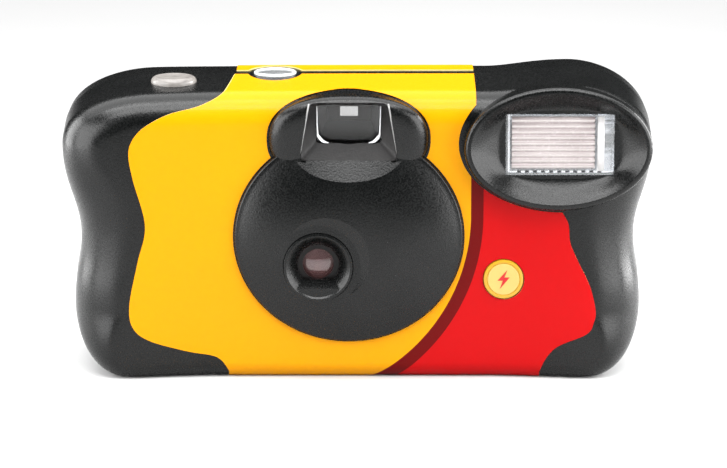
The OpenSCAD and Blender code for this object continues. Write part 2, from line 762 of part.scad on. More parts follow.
module light_tunnel(d, y0, y1) {
  hull() {
    block([lens_x - 3 - d, y0, lens_z - 3 - d], [lens_x + 3 + d, y0 + 0.01, lens_z + 3 + d]);
    block([lens_x - gate_w / 2 - d, y1 - 0.01, lens_z - gate_h / 2 - d],
      [lens_x + gate_w / 2 + d, y1, lens_z + gate_h / 2 + d]);
  }
}
module chassis() {
  rail_y = film_y - film_t / 2 - fit;
  gate_x0 = lens_x - gate_w / 2 - 0.4;
  gate_x1 = lens_x + gate_w / 2 + 1;
  outer_r = chamber_r + chamber_wall;
  color(chassis_grey) difference() {
    union() {
      block([cassette_x - 13, deck_y0, deck_z], [supply_x - 10, rail_y - 0.4, deck_top]);
      translate([cassette_x, cassette_y, 8]) cylinder(r = cassette_r + 1.3, h = deck_z + 0.5 - 8);
      translate([supply_x, supply_y, floor_z]) cylinder(r = outer_r, h = deck_top - floor_z);
      block([gate_x0, rail_y - 1.5, 5], [gate_x1 + 3, rail_y, deck_z + 0.5]);
      block([lens_x - 10, deck_y0, lens_z - 12], [lens_x + 9, deck_y0 + 1.5, deck_z + 0.5]);
      light_tunnel(1.1, deck_y0, rail_y);
      translate([sprocket_x, sprocket_y, sprocket_z - 2.2])
        cylinder(r = sprocket_tip + 1.2, h = deck_z + 0.5 - sprocket_z + 2.2);
      translate([cassette_x, cassette_y, deck_top - 0.5]) cylinder(r = 9, h = wheel_z - play - deck_top + 0.5);
      translate([post_x, post_y, deck_z]) cylinder(r = post_r, h = counter_z + counter_t + 0.3 - deck_z);
      translate([post_x, post_y, deck_z]) cylinder(r = 2.2, h = counter_z - 0.1 - deck_z);
      translate([meter_x, meter_y, deck_z]) cylinder(r = meter_r, h = lever_top + 0.3 - deck_z);
      translate([meter_x, meter_y, deck_z]) cylinder(r = 1.8, h = lever_z - 0.1 - deck_z);
    }
    translate([cassette_x, cassette_y, 0]) cylinder(r = cassette_r + gap, h = deck_z);
    translate([cassette_x, cassette_y, 0]) cylinder(r = hub_r + gap, h = wheel_z);
    translate([supply_x, supply_y, floor_z + 1.5]) cylinder(r = chamber_r, h = deck_z - floor_z - 1.5);
    translate([supply_x, supply_y, 0]) cylinder(r = pin_r + fit, h = deck_top + 1);
    light_tunnel(0, deck_y0 - 0.01, rail_y + 0.01);
    translate([lens_x, 0, lens_z]) rod_y(3, deck_y0 - 1, deck_y0 + 2);
    translate([sprocket_x, sprocket_y, sprocket_z - sprocket_t / 2 - gap])
      cylinder(r = sprocket_tip + gap, h = sprocket_t + 2 * gap);
    translate([sprocket_x, sprocket_y, sprocket_z]) cylinder(r = pin_r + fit, h = 20);
    translate([post_x, post_y, striker_z - 0.1]) difference() {
      cylinder(r = 4, h = counter_z - 0.1 - striker_z);
      translate([0, 0, -1]) cylinder(r = post_r, h = 20);
    }
    block([-half_w, rail_y, 0], [supply_x, body_d, deck_z - 0.01]);
    block([-half_w, rail_y - 3, 0], [gate_x0, body_d, deck_z - 0.01]);
    block([supply_x, supply_y + 6.5, 0], [half_w, body_d, deck_z - 0.01]);
    block([-half_w, rail_y + fit, 0], [half_w, body_d, body_h]);
  }
}
module thumbwheel() {
  rim = [for (i = [0:2 * wheel_teeth - 1])
    let (a = 180 * i / wheel_teeth, r = wheel_r - (i % 2) * 0.5) r * [cos(a), sin(a)]];
  color(black) translate([cassette_x, cassette_y, wheel_z]) {
    difference() {
      linear_extrude(wheel_t) rotate(90) polygon(rim);
      translate([0, 0, wheel_t - 0.8]) cylinder(r = wheel_r - 2.5, h = 2);
    }
    translate([0, 0, -4]) cylinder(r = key_r, h = 4.5);
  }
}
module cassette_shell() {
  slot_x = cassette_x + 10.4;
  color("#3c4a3e") difference() {
    union() {
      translate([cassette_x, cassette_y, floor_z + 1]) cylinder(r = cassette_r, h = cassette_h - 2);
      block([cassette_x + 5, film_y - 1, floor_z + 1.4], [slot_x, film_y + 1, floor_z + cassette_h - 1.4]);
    }
    translate([cassette_x, cassette_y, 0]) cylinder(r = cassette_r - cassette_wall, h = 60);
    block([cassette_x + 2, film_y - play, film_z0 - gap],
      [slot_x + 1, film_y + play, film_z0 + film_w + gap]);
  }
}
module cassette_end_caps() {
  color("#4a4d50") for (z = [floor_z, floor_z + cassette_h - 0.95])
    translate([cassette_x, cassette_y, z]) difference() {
      cylinder(r = cassette_r, h = 0.95);
      translate([0, 0, -1]) cylinder(r = hub_r + gap, h = 3);
    }
}
module cassette_spool() {
  top = wheel_z - 0.2;
  color("#17181a") translate([cassette_x, cassette_y, 0]) difference() {
    union() {
      translate([0, 0, floor_z + 0.2]) cylinder(r = hub_r, h = top - floor_z - 0.2);
      for (z = [floor_z + 1.6, floor_z + cassette_h - 2.6])
        translate([0, 0, z]) cylinder(r = cassette_r - cassette_wall - gap, h = 1);
    }
    translate([0, 0, wheel_z - 4.3]) cylinder(r = key_r + fit, h = 6);
    translate([0, 0, floor_z - 1]) cylinder(r = key_r, h = 7);
  }
}
module film_strip() {
  x0 = cassette_x + 7.6;
  pitch = 4.75;
  count = floor((supply_x - x0) / pitch) - 1;
  color("#6b3f23") plate_xz(film_y - film_t / 2, film_y + film_t / 2) difference() {
    translate([x0, film_z0]) square([supply_x - x0, film_w]);
    for (i = [0:count], z = [film_z0 + 2, film_z0 + film_w - 4.8])
      translate([x0 + 2 + i * pitch, z]) square([2, 2.8]);
    translate([sprocket_x - 4.4, sprocket_z - 1.4]) square([8.8, 2.8]);
  }
}
module film_roll() {
  color("#5a3520") translate([supply_x, supply_y, film_z0]) difference() {
    cylinder(r = roll_r, h = film_w);
    translate([0, 0, -1]) cylinder(r = core_r + fit, h = film_w + 2);
  }
}
module supply_spool() {
  z0 = film_z0 - 1.2;
  z1 = film_z0 + film_w + 0.2;
  color("#17181a") translate([supply_x, supply_y, 0]) {
    translate([0, 0, z0]) cylinder(r = core_r, h = z1 + 1 - z0);
    for (z = [z0, z1]) translate([0, 0, z]) cylinder(r = roll_r + 0.05, h = 1);
    translate([0, 0, floor_z + 0.2]) cylinder(r = pin_r, h = deck_top - 0.2 - floor_z);
  }
}
module metering_sprocket() {
  teeth = 8;
  color("#e8e6df") translate([sprocket_x, sprocket_y, 0]) {
    translate([0, 0, sprocket_z - sprocket_t / 2]) linear_extrude(sprocket_t) {
      circle(r = sprocket_root);
      for (i = [0:teeth - 1]) rotate(360 * i / teeth) polygon([
          [sprocket_root - 0.5, -0.8], [sprocket_tip - 0.3, -0.45], [sprocket_tip - 0.05, 0],
          [sprocket_tip - 0.3, 0.45], [sprocket_root - 0.5, 0.8]
        ]);
    }
    translate([0, 0, sprocket_z]) cylinder(r = pin_r, h = lever_z - gap - sprocket_z);
    difference() {
      translate([0, 0, wheel_z]) cylinder(r = cam_r, h = 2.6);
      translate([cam_r - 0.9, -0.9, wheel_z + 1.2]) cube([2, 1.8, 3]);
    }
  }
}
module counter_wheel() {
  teeth = 40;
  rim = [for (i = [0:2 * teeth - 1])
    let (a = 180 * i / teeth, r = counter_r - (i % 2) * 0.5) r * [cos(a), sin(a)]];
  color("#f2f0ea") translate([post_x, post_y, counter_z]) difference() {
    linear_extrude(counter_t) polygon(rim);
    translate([0, 0, -1]) cylinder(r = post_r + fit, h = 4);
  }
}
module metering_lever() {
  pivot = [meter_x, meter_y];
  tail = [button_x + 0.8, button_y];
  pawl = pivot + 9.6 * (tail - pivot) / norm(tail - pivot);
  color("#d9d4c4") {
    translate([0, 0, lever_z]) linear_extrude(lever_t) difference() {
      union() {
        bar(pivot, tail, 2.2);
        translate(pivot) circle(r = 2.2);
      }
      translate(pivot) circle(r = meter_r + fit);
    }
    translate([pawl[0], pawl[1], wheel_z + 0.6]) cylinder(r = 0.8, h = lever_z + 0.5 - wheel_z - 0.6);
  }
}
striker_arm = 7;
module striker_lever() {
  color("#d9d4c4") translate([post_x, post_y, striker_z]) rotate(-20) linear_extrude(striker_t) difference() {
    union() {
      circle(r = 2.8);
      bar([0, 0], [0, 0.9 - striker_arm], 1.8);
      bar([0, 0], [3.2, 1.2], 1.8);
    }
    circle(r = post_r + fit);
  }
}
module striker_spring() {
  color(steel) translate([post_x, post_y, deck_top + 0.02]) coil(2.5, 0.35, striker_z - deck_top - 0.1, 3);
}

// Flash unit

module flash_window() {
  w = flash_w / 2;
  h = flash_h / 2;
  ribs = 9;
  step = (flash_h - 2.4) / ribs;
  y0 = dish_y + 0.1;
  back = dish_y + dish_floor + fit;
  color(clear_tint) {
    block([flash_x - w, y0, flash_z - h], [flash_x + w, back + 0.1, flash_z + h]);
    block([flash_x - w - 0.7, back, flash_z - h - 0.4], [flash_x + w + 0.7, back + 0.6, flash_z + h + 0.4]);
    for (i = [0:ribs - 1]) translate([flash_x - w + 1.3, 0, flash_z - h + 2 + i * step])
      rotate([90, 0, 90]) linear_extrude(flash_w - 3.4)
        polygon([[y0 + 0.1, 0], [y0 - 0.4, step / 2], [y0 + 0.1, step]]);
  }
}
function bowl(h, y0, y1) = [for (i = [-6:6]) [y1 + (y0 - y1) * pow(i / 6, 2), h * i / 6]];
module flash_reflector() {
  w = flash_w / 2;
  h = flash_h / 2;
  color("#e3e5e8") translate([flash_x, 0, flash_z]) difference() {
    rotate([90, 0, 90]) translate([0, 0, -w]) linear_extrude(flash_w)
      polygon(bowl(h, reflector_y0, reflector_y1));
    rotate([90, 0, 90]) translate([0, 0, reflector_t - w]) linear_extrude(flash_w - 2 * reflector_t)
      polygon(bowl(h - reflector_t, reflector_y0 - 0.1, reflector_y1 - reflector_t));
    translate([0, tube_y, 0]) rod_x(tube_r + play, -w - 1, w + 1);
  }
}
module flash_tube() {
  color(clear_tint) translate([flash_x, tube_y, flash_z]) rod_x(tube_r, -flash_w / 2 - 1, flash_w / 2 + 1);
}
module tube_electrodes() {
  color(steel) for (s = [-1, 1]) translate([flash_x, tube_y, flash_z])
    rod_x(tube_r + 0.2, s > 0 ? flash_w / 2 + 1 : -flash_w / 2 - 2.4, s > 0 ? flash_w / 2 + 2.4 : -flash_w / 2 - 1);
}
module circuit_board() {
  color("#2f6b3c") {
    block([board_x0, board_y, battery_z + 0.6], [board_x1, board_y + board_t, board_top]);
    block([lamp_x - 2, board_y, lamp_z - 1.4], [board_x0 + 0.1, board_y + board_t, board_top]);
  }
}
cap_r = 5;
module flash_capacitor() {
  color("#23262b") translate([board_x1 - cap_r, board_y - cap_r - fit, battery_z + 3])
    cylinder(r = cap_r, h = 27.4);
}
module transformer() {
  x0 = board_x0 + 1;
  x1 = board_x1 - 2 * cap_r - 0.5;
  y1 = board_y - fit;
  z0 = charge_z + 5;
  color("#8a6a3a") {
    difference() {
      block([x0, y1 - 6, z0], [x1, y1, z0 + 9]);
      block([x0 + 1, y1 - 7, z0 + 1.6], [x1 - 1, y1 - 1, z0 + 7.4]);
    }
    translate([(x0 + x1) / 2, y1 - 3, z0 + 1.5]) cylinder(r = 1.6, h = 6);
  }
}
module trigger_coil() {
  color("#b5562b") translate([board_x0 + 3, board_y - 2 - fit, charge_z + 15.5]) cylinder(r = 2, h = 4.4);
}
module board_components() {
  color("#3b2f28") for (i = [0:3])
    translate([board_x0 + 2.2, board_y - 0.8 - fit, battery_z + 2.4 + 3 * i]) rod_x(0.8, 0, 3.6);
}
module ready_lamp() {
  color("#d65a2a") translate([lamp_x, 0, lamp_z]) rod_y(1.3, board_y + board_t + fit, 2.4);
}
module ready_light_pipe() {
  color("#e9d9c0") translate([lamp_x, 0, lamp_z]) rod_y(1.4, 2.5, rear_y);
}
module sync_contacts() {
  y = deck_y0 - 0.5;
  color("#c9a24a") for (z = [lens_z + 13.8, lens_z + 15.8]) {
    block([lens_x + 2, y, z], [board_x0 + 0.6, y + strip_t, z + 1.2]);
    block([board_x0 + 0.3, y, z], [board_x0 + 0.6, board_y - fit, z + 1.2]);
  }
}
module battery() {
  color("#b0783c") translate([battery_x, battery_y, battery_z]) rotate_extrude() polygon([
      [0, 0], [battery_r - 0.6, 0], [battery_r, 0.6], [battery_r, battery_h - 2.1], [battery_r - 0.6, battery_h - 1.5],
      [2.7, battery_h - 1.5], [2.7, battery_h], [0, battery_h]
    ]);
}
module battery_plus_contact() {
  z = battery_z + battery_h + fit;
  color(steel) {
    block([battery_x - 3, board_y + board_t + fit, z], [battery_x + 3, battery_y + 3, z + 0.4]);
    block([battery_x - 3, board_y + board_t + fit, board_top - 4], [battery_x + 3, board_y + board_t + 0.4, z + 0.4]);
  }
}
module battery_minus_contact() {
  z = battery_z - 0.4 - fit;
  color(steel) {
    block([battery_x - 3, board_y + board_t + fit, z], [battery_x + 3, battery_y + 3, z + 0.4]);
    block([battery_x - 3, board_y + board_t + fit, z], [battery_x + 3, board_y + board_t + 0.4, battery_z + 6]);
  }
}

front_cover();
rear_cover();
front_label();
rear_label();
film_door();
shutter_button();
button_spring();
counter_window();
flash_charge_button();
charge_contact_plate();
charge_switch_blades();
viewfinder_front_lens();
viewfinder_frame();
viewfinder_eyepiece();
lens_bezel();
taking_lens();
lens_holder();
aperture_plate();
shutter_blade();
shutter_spring();
chassis();
thumbwheel();
cassette_shell();
cassette_end_caps();
cassette_spool();
film_strip();
film_roll();
supply_spool();
metering_sprocket();
counter_wheel();
metering_lever();
striker_lever();
striker_spring();
flash_window();
flash_reflector();
flash_tube();
tube_electrodes();
circuit_board();
flash_capacitor();
transformer();
trigger_coil();
board_components();
ready_lamp();
ready_light_pipe();
sync_contacts();
battery();
battery_plus_contact();
battery_minus_contact();
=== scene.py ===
"""Looks of a disposable film camera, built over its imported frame.

Shapes are worked out in millimetres and put into meshes in metres. The front faces -Y and +Z is up.
"""
import math

import bpy
import numpy as np
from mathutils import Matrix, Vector


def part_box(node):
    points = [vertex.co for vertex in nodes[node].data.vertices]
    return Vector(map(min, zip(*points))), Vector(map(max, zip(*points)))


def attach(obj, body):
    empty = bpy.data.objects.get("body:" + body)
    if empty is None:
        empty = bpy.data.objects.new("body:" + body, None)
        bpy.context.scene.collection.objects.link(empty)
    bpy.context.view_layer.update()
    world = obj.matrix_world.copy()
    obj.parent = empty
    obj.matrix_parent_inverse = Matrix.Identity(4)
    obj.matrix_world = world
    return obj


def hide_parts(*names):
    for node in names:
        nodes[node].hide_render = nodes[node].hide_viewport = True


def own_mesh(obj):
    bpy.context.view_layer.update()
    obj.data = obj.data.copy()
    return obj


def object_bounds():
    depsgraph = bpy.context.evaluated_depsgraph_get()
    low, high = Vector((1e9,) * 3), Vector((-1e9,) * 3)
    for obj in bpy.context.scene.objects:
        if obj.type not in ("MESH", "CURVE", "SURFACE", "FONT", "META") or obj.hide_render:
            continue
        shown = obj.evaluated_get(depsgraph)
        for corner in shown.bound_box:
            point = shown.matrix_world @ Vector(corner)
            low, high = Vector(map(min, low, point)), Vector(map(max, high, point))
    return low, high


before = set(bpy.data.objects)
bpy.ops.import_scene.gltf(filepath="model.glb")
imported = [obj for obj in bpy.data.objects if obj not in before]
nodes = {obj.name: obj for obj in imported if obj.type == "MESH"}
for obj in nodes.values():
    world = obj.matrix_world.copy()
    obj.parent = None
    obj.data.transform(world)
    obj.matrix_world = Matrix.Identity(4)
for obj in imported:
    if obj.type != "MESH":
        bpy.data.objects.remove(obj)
cad_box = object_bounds()
MM = 0.001


def corners(node):
    """Lowest and highest corner of a frame node, in millimetres."""
    return [np.array(corner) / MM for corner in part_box(node)]


def middle(node):
    """Middle of a frame node's box, in millimetres."""
    return sum(corners(node)) / 2


def half_size(node):
    """Half the width, depth and height of a frame node's box, in millimetres."""
    low, high = corners(node)
    return (high - low) / 2


# Sizes of the body, from the frame's box
BOX_LOW, BOX_HIGH = (np.array(corner) / MM for corner in cad_box)
HALF_W = BOX_HIGH[0]
FRONT_Y = BOX_LOW[1]
FACE_Y = FRONT_Y + 4.8
REAR_Y = corners("rear_cover")[1][1]
SEAM_Y = corners("front_label")[1][1]
SEAM_GAP = 0.15
HUMP_Z = BOX_HIGH[2]
TOP_Z = HUMP_Z - 1.4
WALL = 1.6
LOBE_RISE = 2.3
LOBE_START, LOBE_SPAN = 26.0, 24.0
FACE_MID = np.array([0.0, TOP_Z / 2])

# Places of the parts on the front, from the frame
LENS = middle("lens_bezel")
FINDER = middle("viewfinder_front_lens")
FLASH_SHIFT = np.array([-0.5, 0, -0.7])
FLASH = middle("flash_window") + FLASH_SHIFT
CHARGE = middle("flash_charge_button")
BUTTON = middle("shutter_button")
COUNTER = middle("counter_window")
LENS_AXIS = (LENS[0], 0, LENS[2])
CHARGE_AXIS = (CHARGE[0], 0, CHARGE[2])
BUTTON_AXIS = (BUTTON[0], BUTTON[1], 0)
COUNTER_AXIS = (COUNTER[0], COUNTER[1], 0)

# Forms that stand out of the front face: middle (x, z) and radii
PANEL_MID, PANEL_RADII = np.array([-1.7, LENS[2] + 5.5]), np.array([22.85, 21.3])
HOOD_MID, HOOD_RADII = np.array([FINDER[0], TOP_Z - 10.2]), np.array([16, 8.9])
HOOD_POWER = 2.4
POD_MID, POD_RADII = np.array([HALF_W - 20.05, TOP_Z - 11.6]), np.array([18.65, 12.4])

# Outline knots: x, z, handle x, handle z, front fillet, rear fillet, draft
KNOTS = np.array([
    [-46, 0, 7.5, 0, 3.2, 2, 0],
    [46, 0, 7.5, 0, 3.2, 2, 0],
    [HALF_W - 2.2, 14, 0, 7, 11, 4, 0.6],
    [HALF_W - 3.6, 28.2, 0, 6.5, 11, 4, 0.6],
    [HALF_W - 0.3, 47, 0, 8.5, 9.2, 4, 0.6],
    [43, HUMP_Z, -7.5, 0, 6, 4, 1.2],
    [26, TOP_Z, -5, 0, 6, 4, 1.2],
    [-42, TOP_Z - 0.3, -7, -0.3, 6, 4, 1.2],
    [0.3 - HALF_W, 47, 0, -8.5, 8.2, 4, 0.6],
    [3.6 - HALF_W, 28.2, 0, -6.5, 11, 4, 0.6],
    [2.2 - HALF_W, 14, 0, -7, 11, 4, 0.6],
])
OUTLINE_COLUMNS = len(KNOTS) * 44


# Curves and skins

def ease(t):
    """Smooth step from 0 to 1."""
    c = np.clip(t, 0, 1)
    return c * c * (3 - 2 * c)


def outline(u):
    """Body outline seen from the front, a cubic curve from knot to knot.

    Gives the point, its outward normal, the front fillet, the rear fillet and the draft at u,
    which runs from 0 to the number of knots.
    """
    k = np.floor(u).astype(int) % len(KNOTS)
    t = (u - np.floor(u))[..., None]
    a, b = KNOTS[k], KNOTS[(k + 1) % len(KNOTS)]
    p0, p3 = a[..., :2], b[..., :2]
    p1, p2 = p0 + a[..., 2:4], p3 - b[..., 2:4]
    point = (1 - t) ** 3 * p0 + 3 * t * (1 - t) ** 2 * p1 + 3 * t * t * (1 - t) * p2 + t ** 3 * p3
    slope = (1 - t) ** 2 * (p1 - p0) + 2 * t * (1 - t) * (p2 - p1) + t * t * (p3 - p2)
    normal = np.stack([slope[..., 1], -slope[..., 0]], -1)
    normal /= np.linalg.norm(normal, axis=-1, keepdims=True)
    radii = a[..., 4:] + (b[..., 4:] - a[..., 4:]) * ease(t)
    return point, normal, radii[..., 0:1], radii[..., 1:2], radii[..., 2:3]


def face_depth(x):
    """Depth of the front face: flat behind the label, swollen towards the grip lobes."""
    return FACE_Y - LOBE_RISE * ease((np.abs(x) - LOBE_START) / LOBE_SPAN)


def front_skin(u, v, d=0.0):
    """Front half of the body pushed out by d.

    v runs 0 to 1 over the face, 1 to 2 round the edge fillet and 2 to 3 along the drafted side.
    """
    u, v = np.broadcast_arrays(u, v)
    v = v[..., None]
    point, normal, fillet, _, draft = outline(u)
    inset = point - (draft + fillet) * normal
    turn = np.pi / 2 * (2 - np.clip(v, 1, 2))
    along = np.clip(v - 2, 0, 1)
    on_face = FACE_MID + np.minimum(v, 1) * (inset - FACE_MID)
    on_edge = inset + ((fillet + d) * np.cos(turn) + along * draft) * normal
    spot = np.where(v <= 1, on_face, on_edge)
    edge_depth = face_depth(inset[..., :1]) + fillet - (fillet + d) * np.sin(turn)
    depth = np.where(v <= 1, face_depth(on_face[..., :1]) - d, edge_depth)
    depth = depth + along * (SEAM_Y - depth)
    return np.concatenate([spot[..., :1], depth, spot[..., 1:]], -1)


def rear_skin(u, v, d=0.0):
    """Rear half of the body pushed out by d: v runs over the flat back, the fillet and the side."""
    u, v = np.broadcast_arrays(u, v)
    v = v[..., None]
    point, normal, _, fillet, _ = outline(u)
    inset = point - fillet * normal
    turn = np.pi / 2 * (2 - np.clip(v, 1, 2))
    along = np.clip(v - 2, 0, 1)
    on_face = FACE_MID + np.minimum(v, 1) * (inset - FACE_MID)
    spot = np.where(v <= 1, on_face, inset + (fillet + d) * np.cos(turn) * normal)
    depth = np.where(v <= 1, REAR_Y + d, REAR_Y - fillet + (fillet + d) * np.sin(turn))
    depth = depth + along * (SEAM_Y + SEAM_GAP - depth)
    return np.concatenate([spot[..., :1], depth, spot[..., 1:]], -1)


# Meshes

def mesh_object(name, points, *face_groups):
    """Object at the origin from points in millimetres and arrays of faces, turned to face outwards."""
    triangles = [(f[:, 0], f[:, k], f[:, k + 1]) for f in face_groups for k in range(1, f.shape[1] - 1)]
    volume = sum(np.einsum("ij,ij->", points[a], np.cross(points[b], points[c])) for a, b, c in triangles)
    if volume < 0:
        face_groups = [f[:, ::-1] for f in face_groups]
    sizes = np.concatenate([np.full(len(f), f.shape[1]) for f in face_groups])
    loops = np.concatenate([f.ravel() for f in face_groups])
    mesh = bpy.data.meshes.new(name)
    mesh.vertices.add(len(points))
    mesh.vertices.foreach_set("co", (points * MM).astype(np.float32).ravel())
    mesh.loops.add(len(loops))
    mesh.loops.foreach_set("vertex_index", loops.astype(np.int32))
    mesh.polygons.add(len(sizes))
    starts = np.concatenate([[0], np.cumsum(sizes)[:-1]])
    mesh.polygons.foreach_set("loop_start", starts.astype(np.int32))
    mesh.update(calc_edges=True)
    mesh.polygons.foreach_set("use_smooth", np.ones(len(sizes), dtype=bool))
    obj = bpy.data.objects.new(name, mesh)
    bpy.context.scene.collection.objects.link(obj)
    return obj


def loft(name, rings, closed=False):
    """Skin through a stack of rings (ring, point, xyz).

    Each end is shut by a fan to the middle of its ring, or the last ring joins the first when closed.
    """
    count, n, _ = rings.shape
    here = np.arange(n)
    after = (here + 1) % n
    base = (np.arange(count if closed else count - 1) * n)[:, None]
    ahead = (base + n) % (count * n)
    quads = np.stack([base + here, base + after, ahead + after, ahead + here], -1).reshape(-1, 4)
    points = rings.reshape(-1, 3)
    if closed:
        return mesh_object(name, points, quads)
    ends = np.stack([rings[0].mean(0), rings[-1].mean(0)])
    first = np.stack([np.full(n, count * n), after, here], -1)
    last = np.stack([np.full(n, count * n + 1), here, after], -1) + [0, (count - 1) * n, (count - 1) * n]
    return mesh_object(name, np.concatenate([points, ends]), quads, first, last)


def shell(name, skin, outer, inner, steps):
    """Wall between one skin pushed out by outer and by inner, joined along the seam."""
    u = np.linspace(0, len(KNOTS), OUTLINE_COLUMNS, endpoint=False)[None]
    v = steps[:, None]
    return loft(name, np.concatenate([skin(u, v, outer), skin(u, v[::-1], inner)]))


def oval(mid, radii, depth, power=2.0, count=256):
    """Ring at one depth, or at one depth per point: power 2 is an ellipse, more is squarer."""
    a = np.linspace(0, 2 * np.pi, count, endpoint=False)
    k = (np.abs(np.cos(a)) ** power + np.abs(np.sin(a)) ** power) ** (-1 / power)
    x, z = mid[0] + radii[0] * k * np.cos(a), mid[1] + radii[1] * k * np.sin(a)
    return np.stack([x, depth(x, z) if callable(depth) else np.full(count, float(depth)), z], -1)


def trapezoid(x, low, high, half_low, half_high, depth, power=14.0, count=160):
    """Ring with slightly round corners, half_low wide at height low and half_high wide at height high."""
    a = oval((0, 0), (1, 1), 0, power, count)
    share = (a[:, 2] + 1) / 2
    width = half_low + (half_high - half_low) * share
    return np.stack([x + a[:, 0] * width, np.full(count, float(depth)), low + (high - low) * share], -1)


def block(name, low, high):
    """Box between two opposite corners."""
    x = np.array([low[0], high[0], high[0], low[0]])
    z = np.array([low[2], low[2], high[2], high[2]])
    return loft(name, np.stack([np.stack([x, np.full(4, y), z], -1) for y in (low[1], high[1])]))


def turned(name, profile, mid, axis="z", closed=False, count=192):
    """Profile of (radius, height) pairs turned about an upright axis, or one along the depth, through mid."""
    a = np.linspace(0, 2 * np.pi, count, endpoint=False)
    r, h = np.array(profile, float).T[:, :, None]
    rings = np.stack([r * np.cos(a), r * np.sin(a), h + 0 * a], -1)
    if axis == "y":
        rings = rings[..., [0, 2, 1]]
    return loft(name, rings + np.array(mid), closed)


def through(name, points, y0, y1):
    """Prism along the depth over an outline of (x, z) points."""
    x, z = np.array(points).T
    return loft(name, np.stack([np.stack([x, np.full(len(x), y), z], -1) for y in (y0, y1)]))


def combine(base, operation, *tools):
    """Joins the tools to the base, cuts them out of it or keeps what both share, then deletes the tools."""
    for tool in tools:
        step = base.modifiers.new(tool.name, "BOOLEAN")
        step.operation = operation
        step.solver = "MANIFOLD"
        step.material_mode = "TRANSFER"
        step.object = tool
    graph = bpy.context.evaluated_depsgraph_get()
    made = bpy.data.meshes.new_from_object(base.evaluated_get(graph))
    base.modifiers.clear()
    base.data = made
    for tool in tools:
        bpy.data.objects.remove(tool)


def crease(obj, degrees=32):
    """Smooth shading that breaks at edges sharper than the angle."""
    obj.data.polygons.foreach_set("use_smooth", np.ones(len(obj.data.polygons), dtype=bool))
    obj.data.set_sharp_from_angle(angle=math.radians(degrees))
    return obj


def smooth_curve(knots, steps=10):
    """Curve through the knots whose slope at each knot is half the step between its neighbours."""
    p = np.array(knots, float)
    slope = np.gradient(p, axis=0)
    t = np.linspace(0, 1, steps, endpoint=False)[None, :, None]
    a, b, sa, sb = p[:-1, None], p[1:, None], slope[:-1, None], slope[1:, None]
    inside = (a * (1 + 2 * t) * (1 - t) ** 2 + sa * t * (1 - t) ** 2
              + b * t * t * (3 - 2 * t) - sb * t * t * (1 - t))
    return np.concatenate([inside.reshape(-1, p.shape[1]), p[-1:]])


# Materials

class Finish:
    """Procedural material: one surface shader and the textures that feed it."""

    def __init__(self, name, **sockets):
        self.material = bpy.data.materials.new(name)
        self.material.use_nodes = True
        self.tree = self.material.node_tree
        self.shader = self.tree.nodes["Principled BSDF"]
        for socket, value in sockets.items():
            self.shader.inputs[socket.replace("_", " ")].default_value = value

    def add(self, kind, inputs=(), **settings):
        """New node with its settings and its inputs, each a value or another node's output."""
        made = self.tree.nodes.new("ShaderNode" + kind)
        for key, value in settings.items():
            setattr(made, key, value)
        for key, value in dict(inputs).items():
            if isinstance(value, bpy.types.NodeSocket):
                self.tree.links.new(value, made.inputs[key])
            else:
                made.inputs[key].default_value = value
        return made

    def place(self):
        """Position in the frame's own coordinates, in metres."""
        return self.add("TexCoord").outputs["Object"]

    def noise(self, size_mm, detail):
        """Noise whose grains are about size_mm across."""
        made = self.add("TexNoise", {"Vector": self.place(), "Scale": 1 / (size_mm * MM), "Detail": detail})
        return made.outputs["Fac"]

    def ramp(self, value, *stops):
        """Colour or grey looked up between two stops of (position, colour)."""
        made = self.add("ValToRGB", {"Fac": value})
        for stop, (position, colour) in zip(made.color_ramp.elements, stops):
            stop.position = position
            stop.color = colour if isinstance(colour, tuple) else (colour, colour, colour, 1)
        return made.outputs["Color"]

    def math(self, operation, a, b=0.0):
        """One step of arithmetic on numbers or outputs."""
        return self.add("Math", {0: a, 1: b}, operation=operation).outputs[0]

    def feed(self, **links):
        """Links outputs to the surface shader's sockets."""
        for socket, output in links.items():
            self.tree.links.new(output, self.shader.inputs[socket.replace("_", " ")])
        return self

    def bump(self, height, depth_mm):
        """Relief on the surface, of the given depth."""
        made = self.add("Bump", {"Height": height, "Distance": depth_mm * MM})
        return self.feed(Normal=made.outputs["Normal"])


def rgb(red, green, blue):
    """Linear colour from screen values of 0 to 255."""
    c = np.array([red, green, blue]) / 255
    return (*np.where(c <= 0.04045, c / 12.92, ((c + 0.055) / 1.055) ** 2.4).tolist(), 1)


def grained_plastic(name, dark, light, grain_mm=0.36, depth_mm=0.026, rough=(0.2, 0.34), gloss=0.3):
    """Moulded plastic with a fine sparkling grain, a slow drift in tone and uneven gloss."""
    made = Finish(name, Specular_IOR_Level=gloss)
    drift = made.noise(9, 3)
    grain = made.noise(grain_mm, 2)
    made.feed(Base_Color=made.ramp(drift, (0.35, dark), (0.65, light)),
              Roughness=made.ramp(grain, (0.3, rough[0]), (0.7, rough[1])))
    return made.bump(grain, depth_mm).material


def plain_finish(name, dark, light, drift_mm=4.0, rough=(0.3, 0.45), grain_mm=0.5, depth_mm=0.006, **sockets):
    """Smooth finish with a faint drift in colour, uneven gloss and a shallow surface wave."""
    made = Finish(name, **sockets)
    grain = made.noise(grain_mm, 3)
    made.feed(Base_Color=made.ramp(made.noise(drift_mm, 3), (0.35, dark), (0.65, light)),
              Roughness=made.ramp(grain, (0.3, rough[0]), (0.7, rough[1])))
    return made.bump(grain, depth_mm).material


# Ribs of the flash window
WINDOW_HALF = half_size("flash_window") - [0.8, 0, 1.0]
RIBS = 9
RIB_LOW, RIB_HIGH = FLASH[2] - WINDOW_HALF[2] + 1.3, FLASH[2] + WINDOW_HALF[2] - 0.4
RIB_STEP = (RIB_HIGH - RIB_LOW) / RIBS
RIB_LEFT, RIB_RIGHT = FLASH[0] - 9.6, FLASH[0] + 6.9

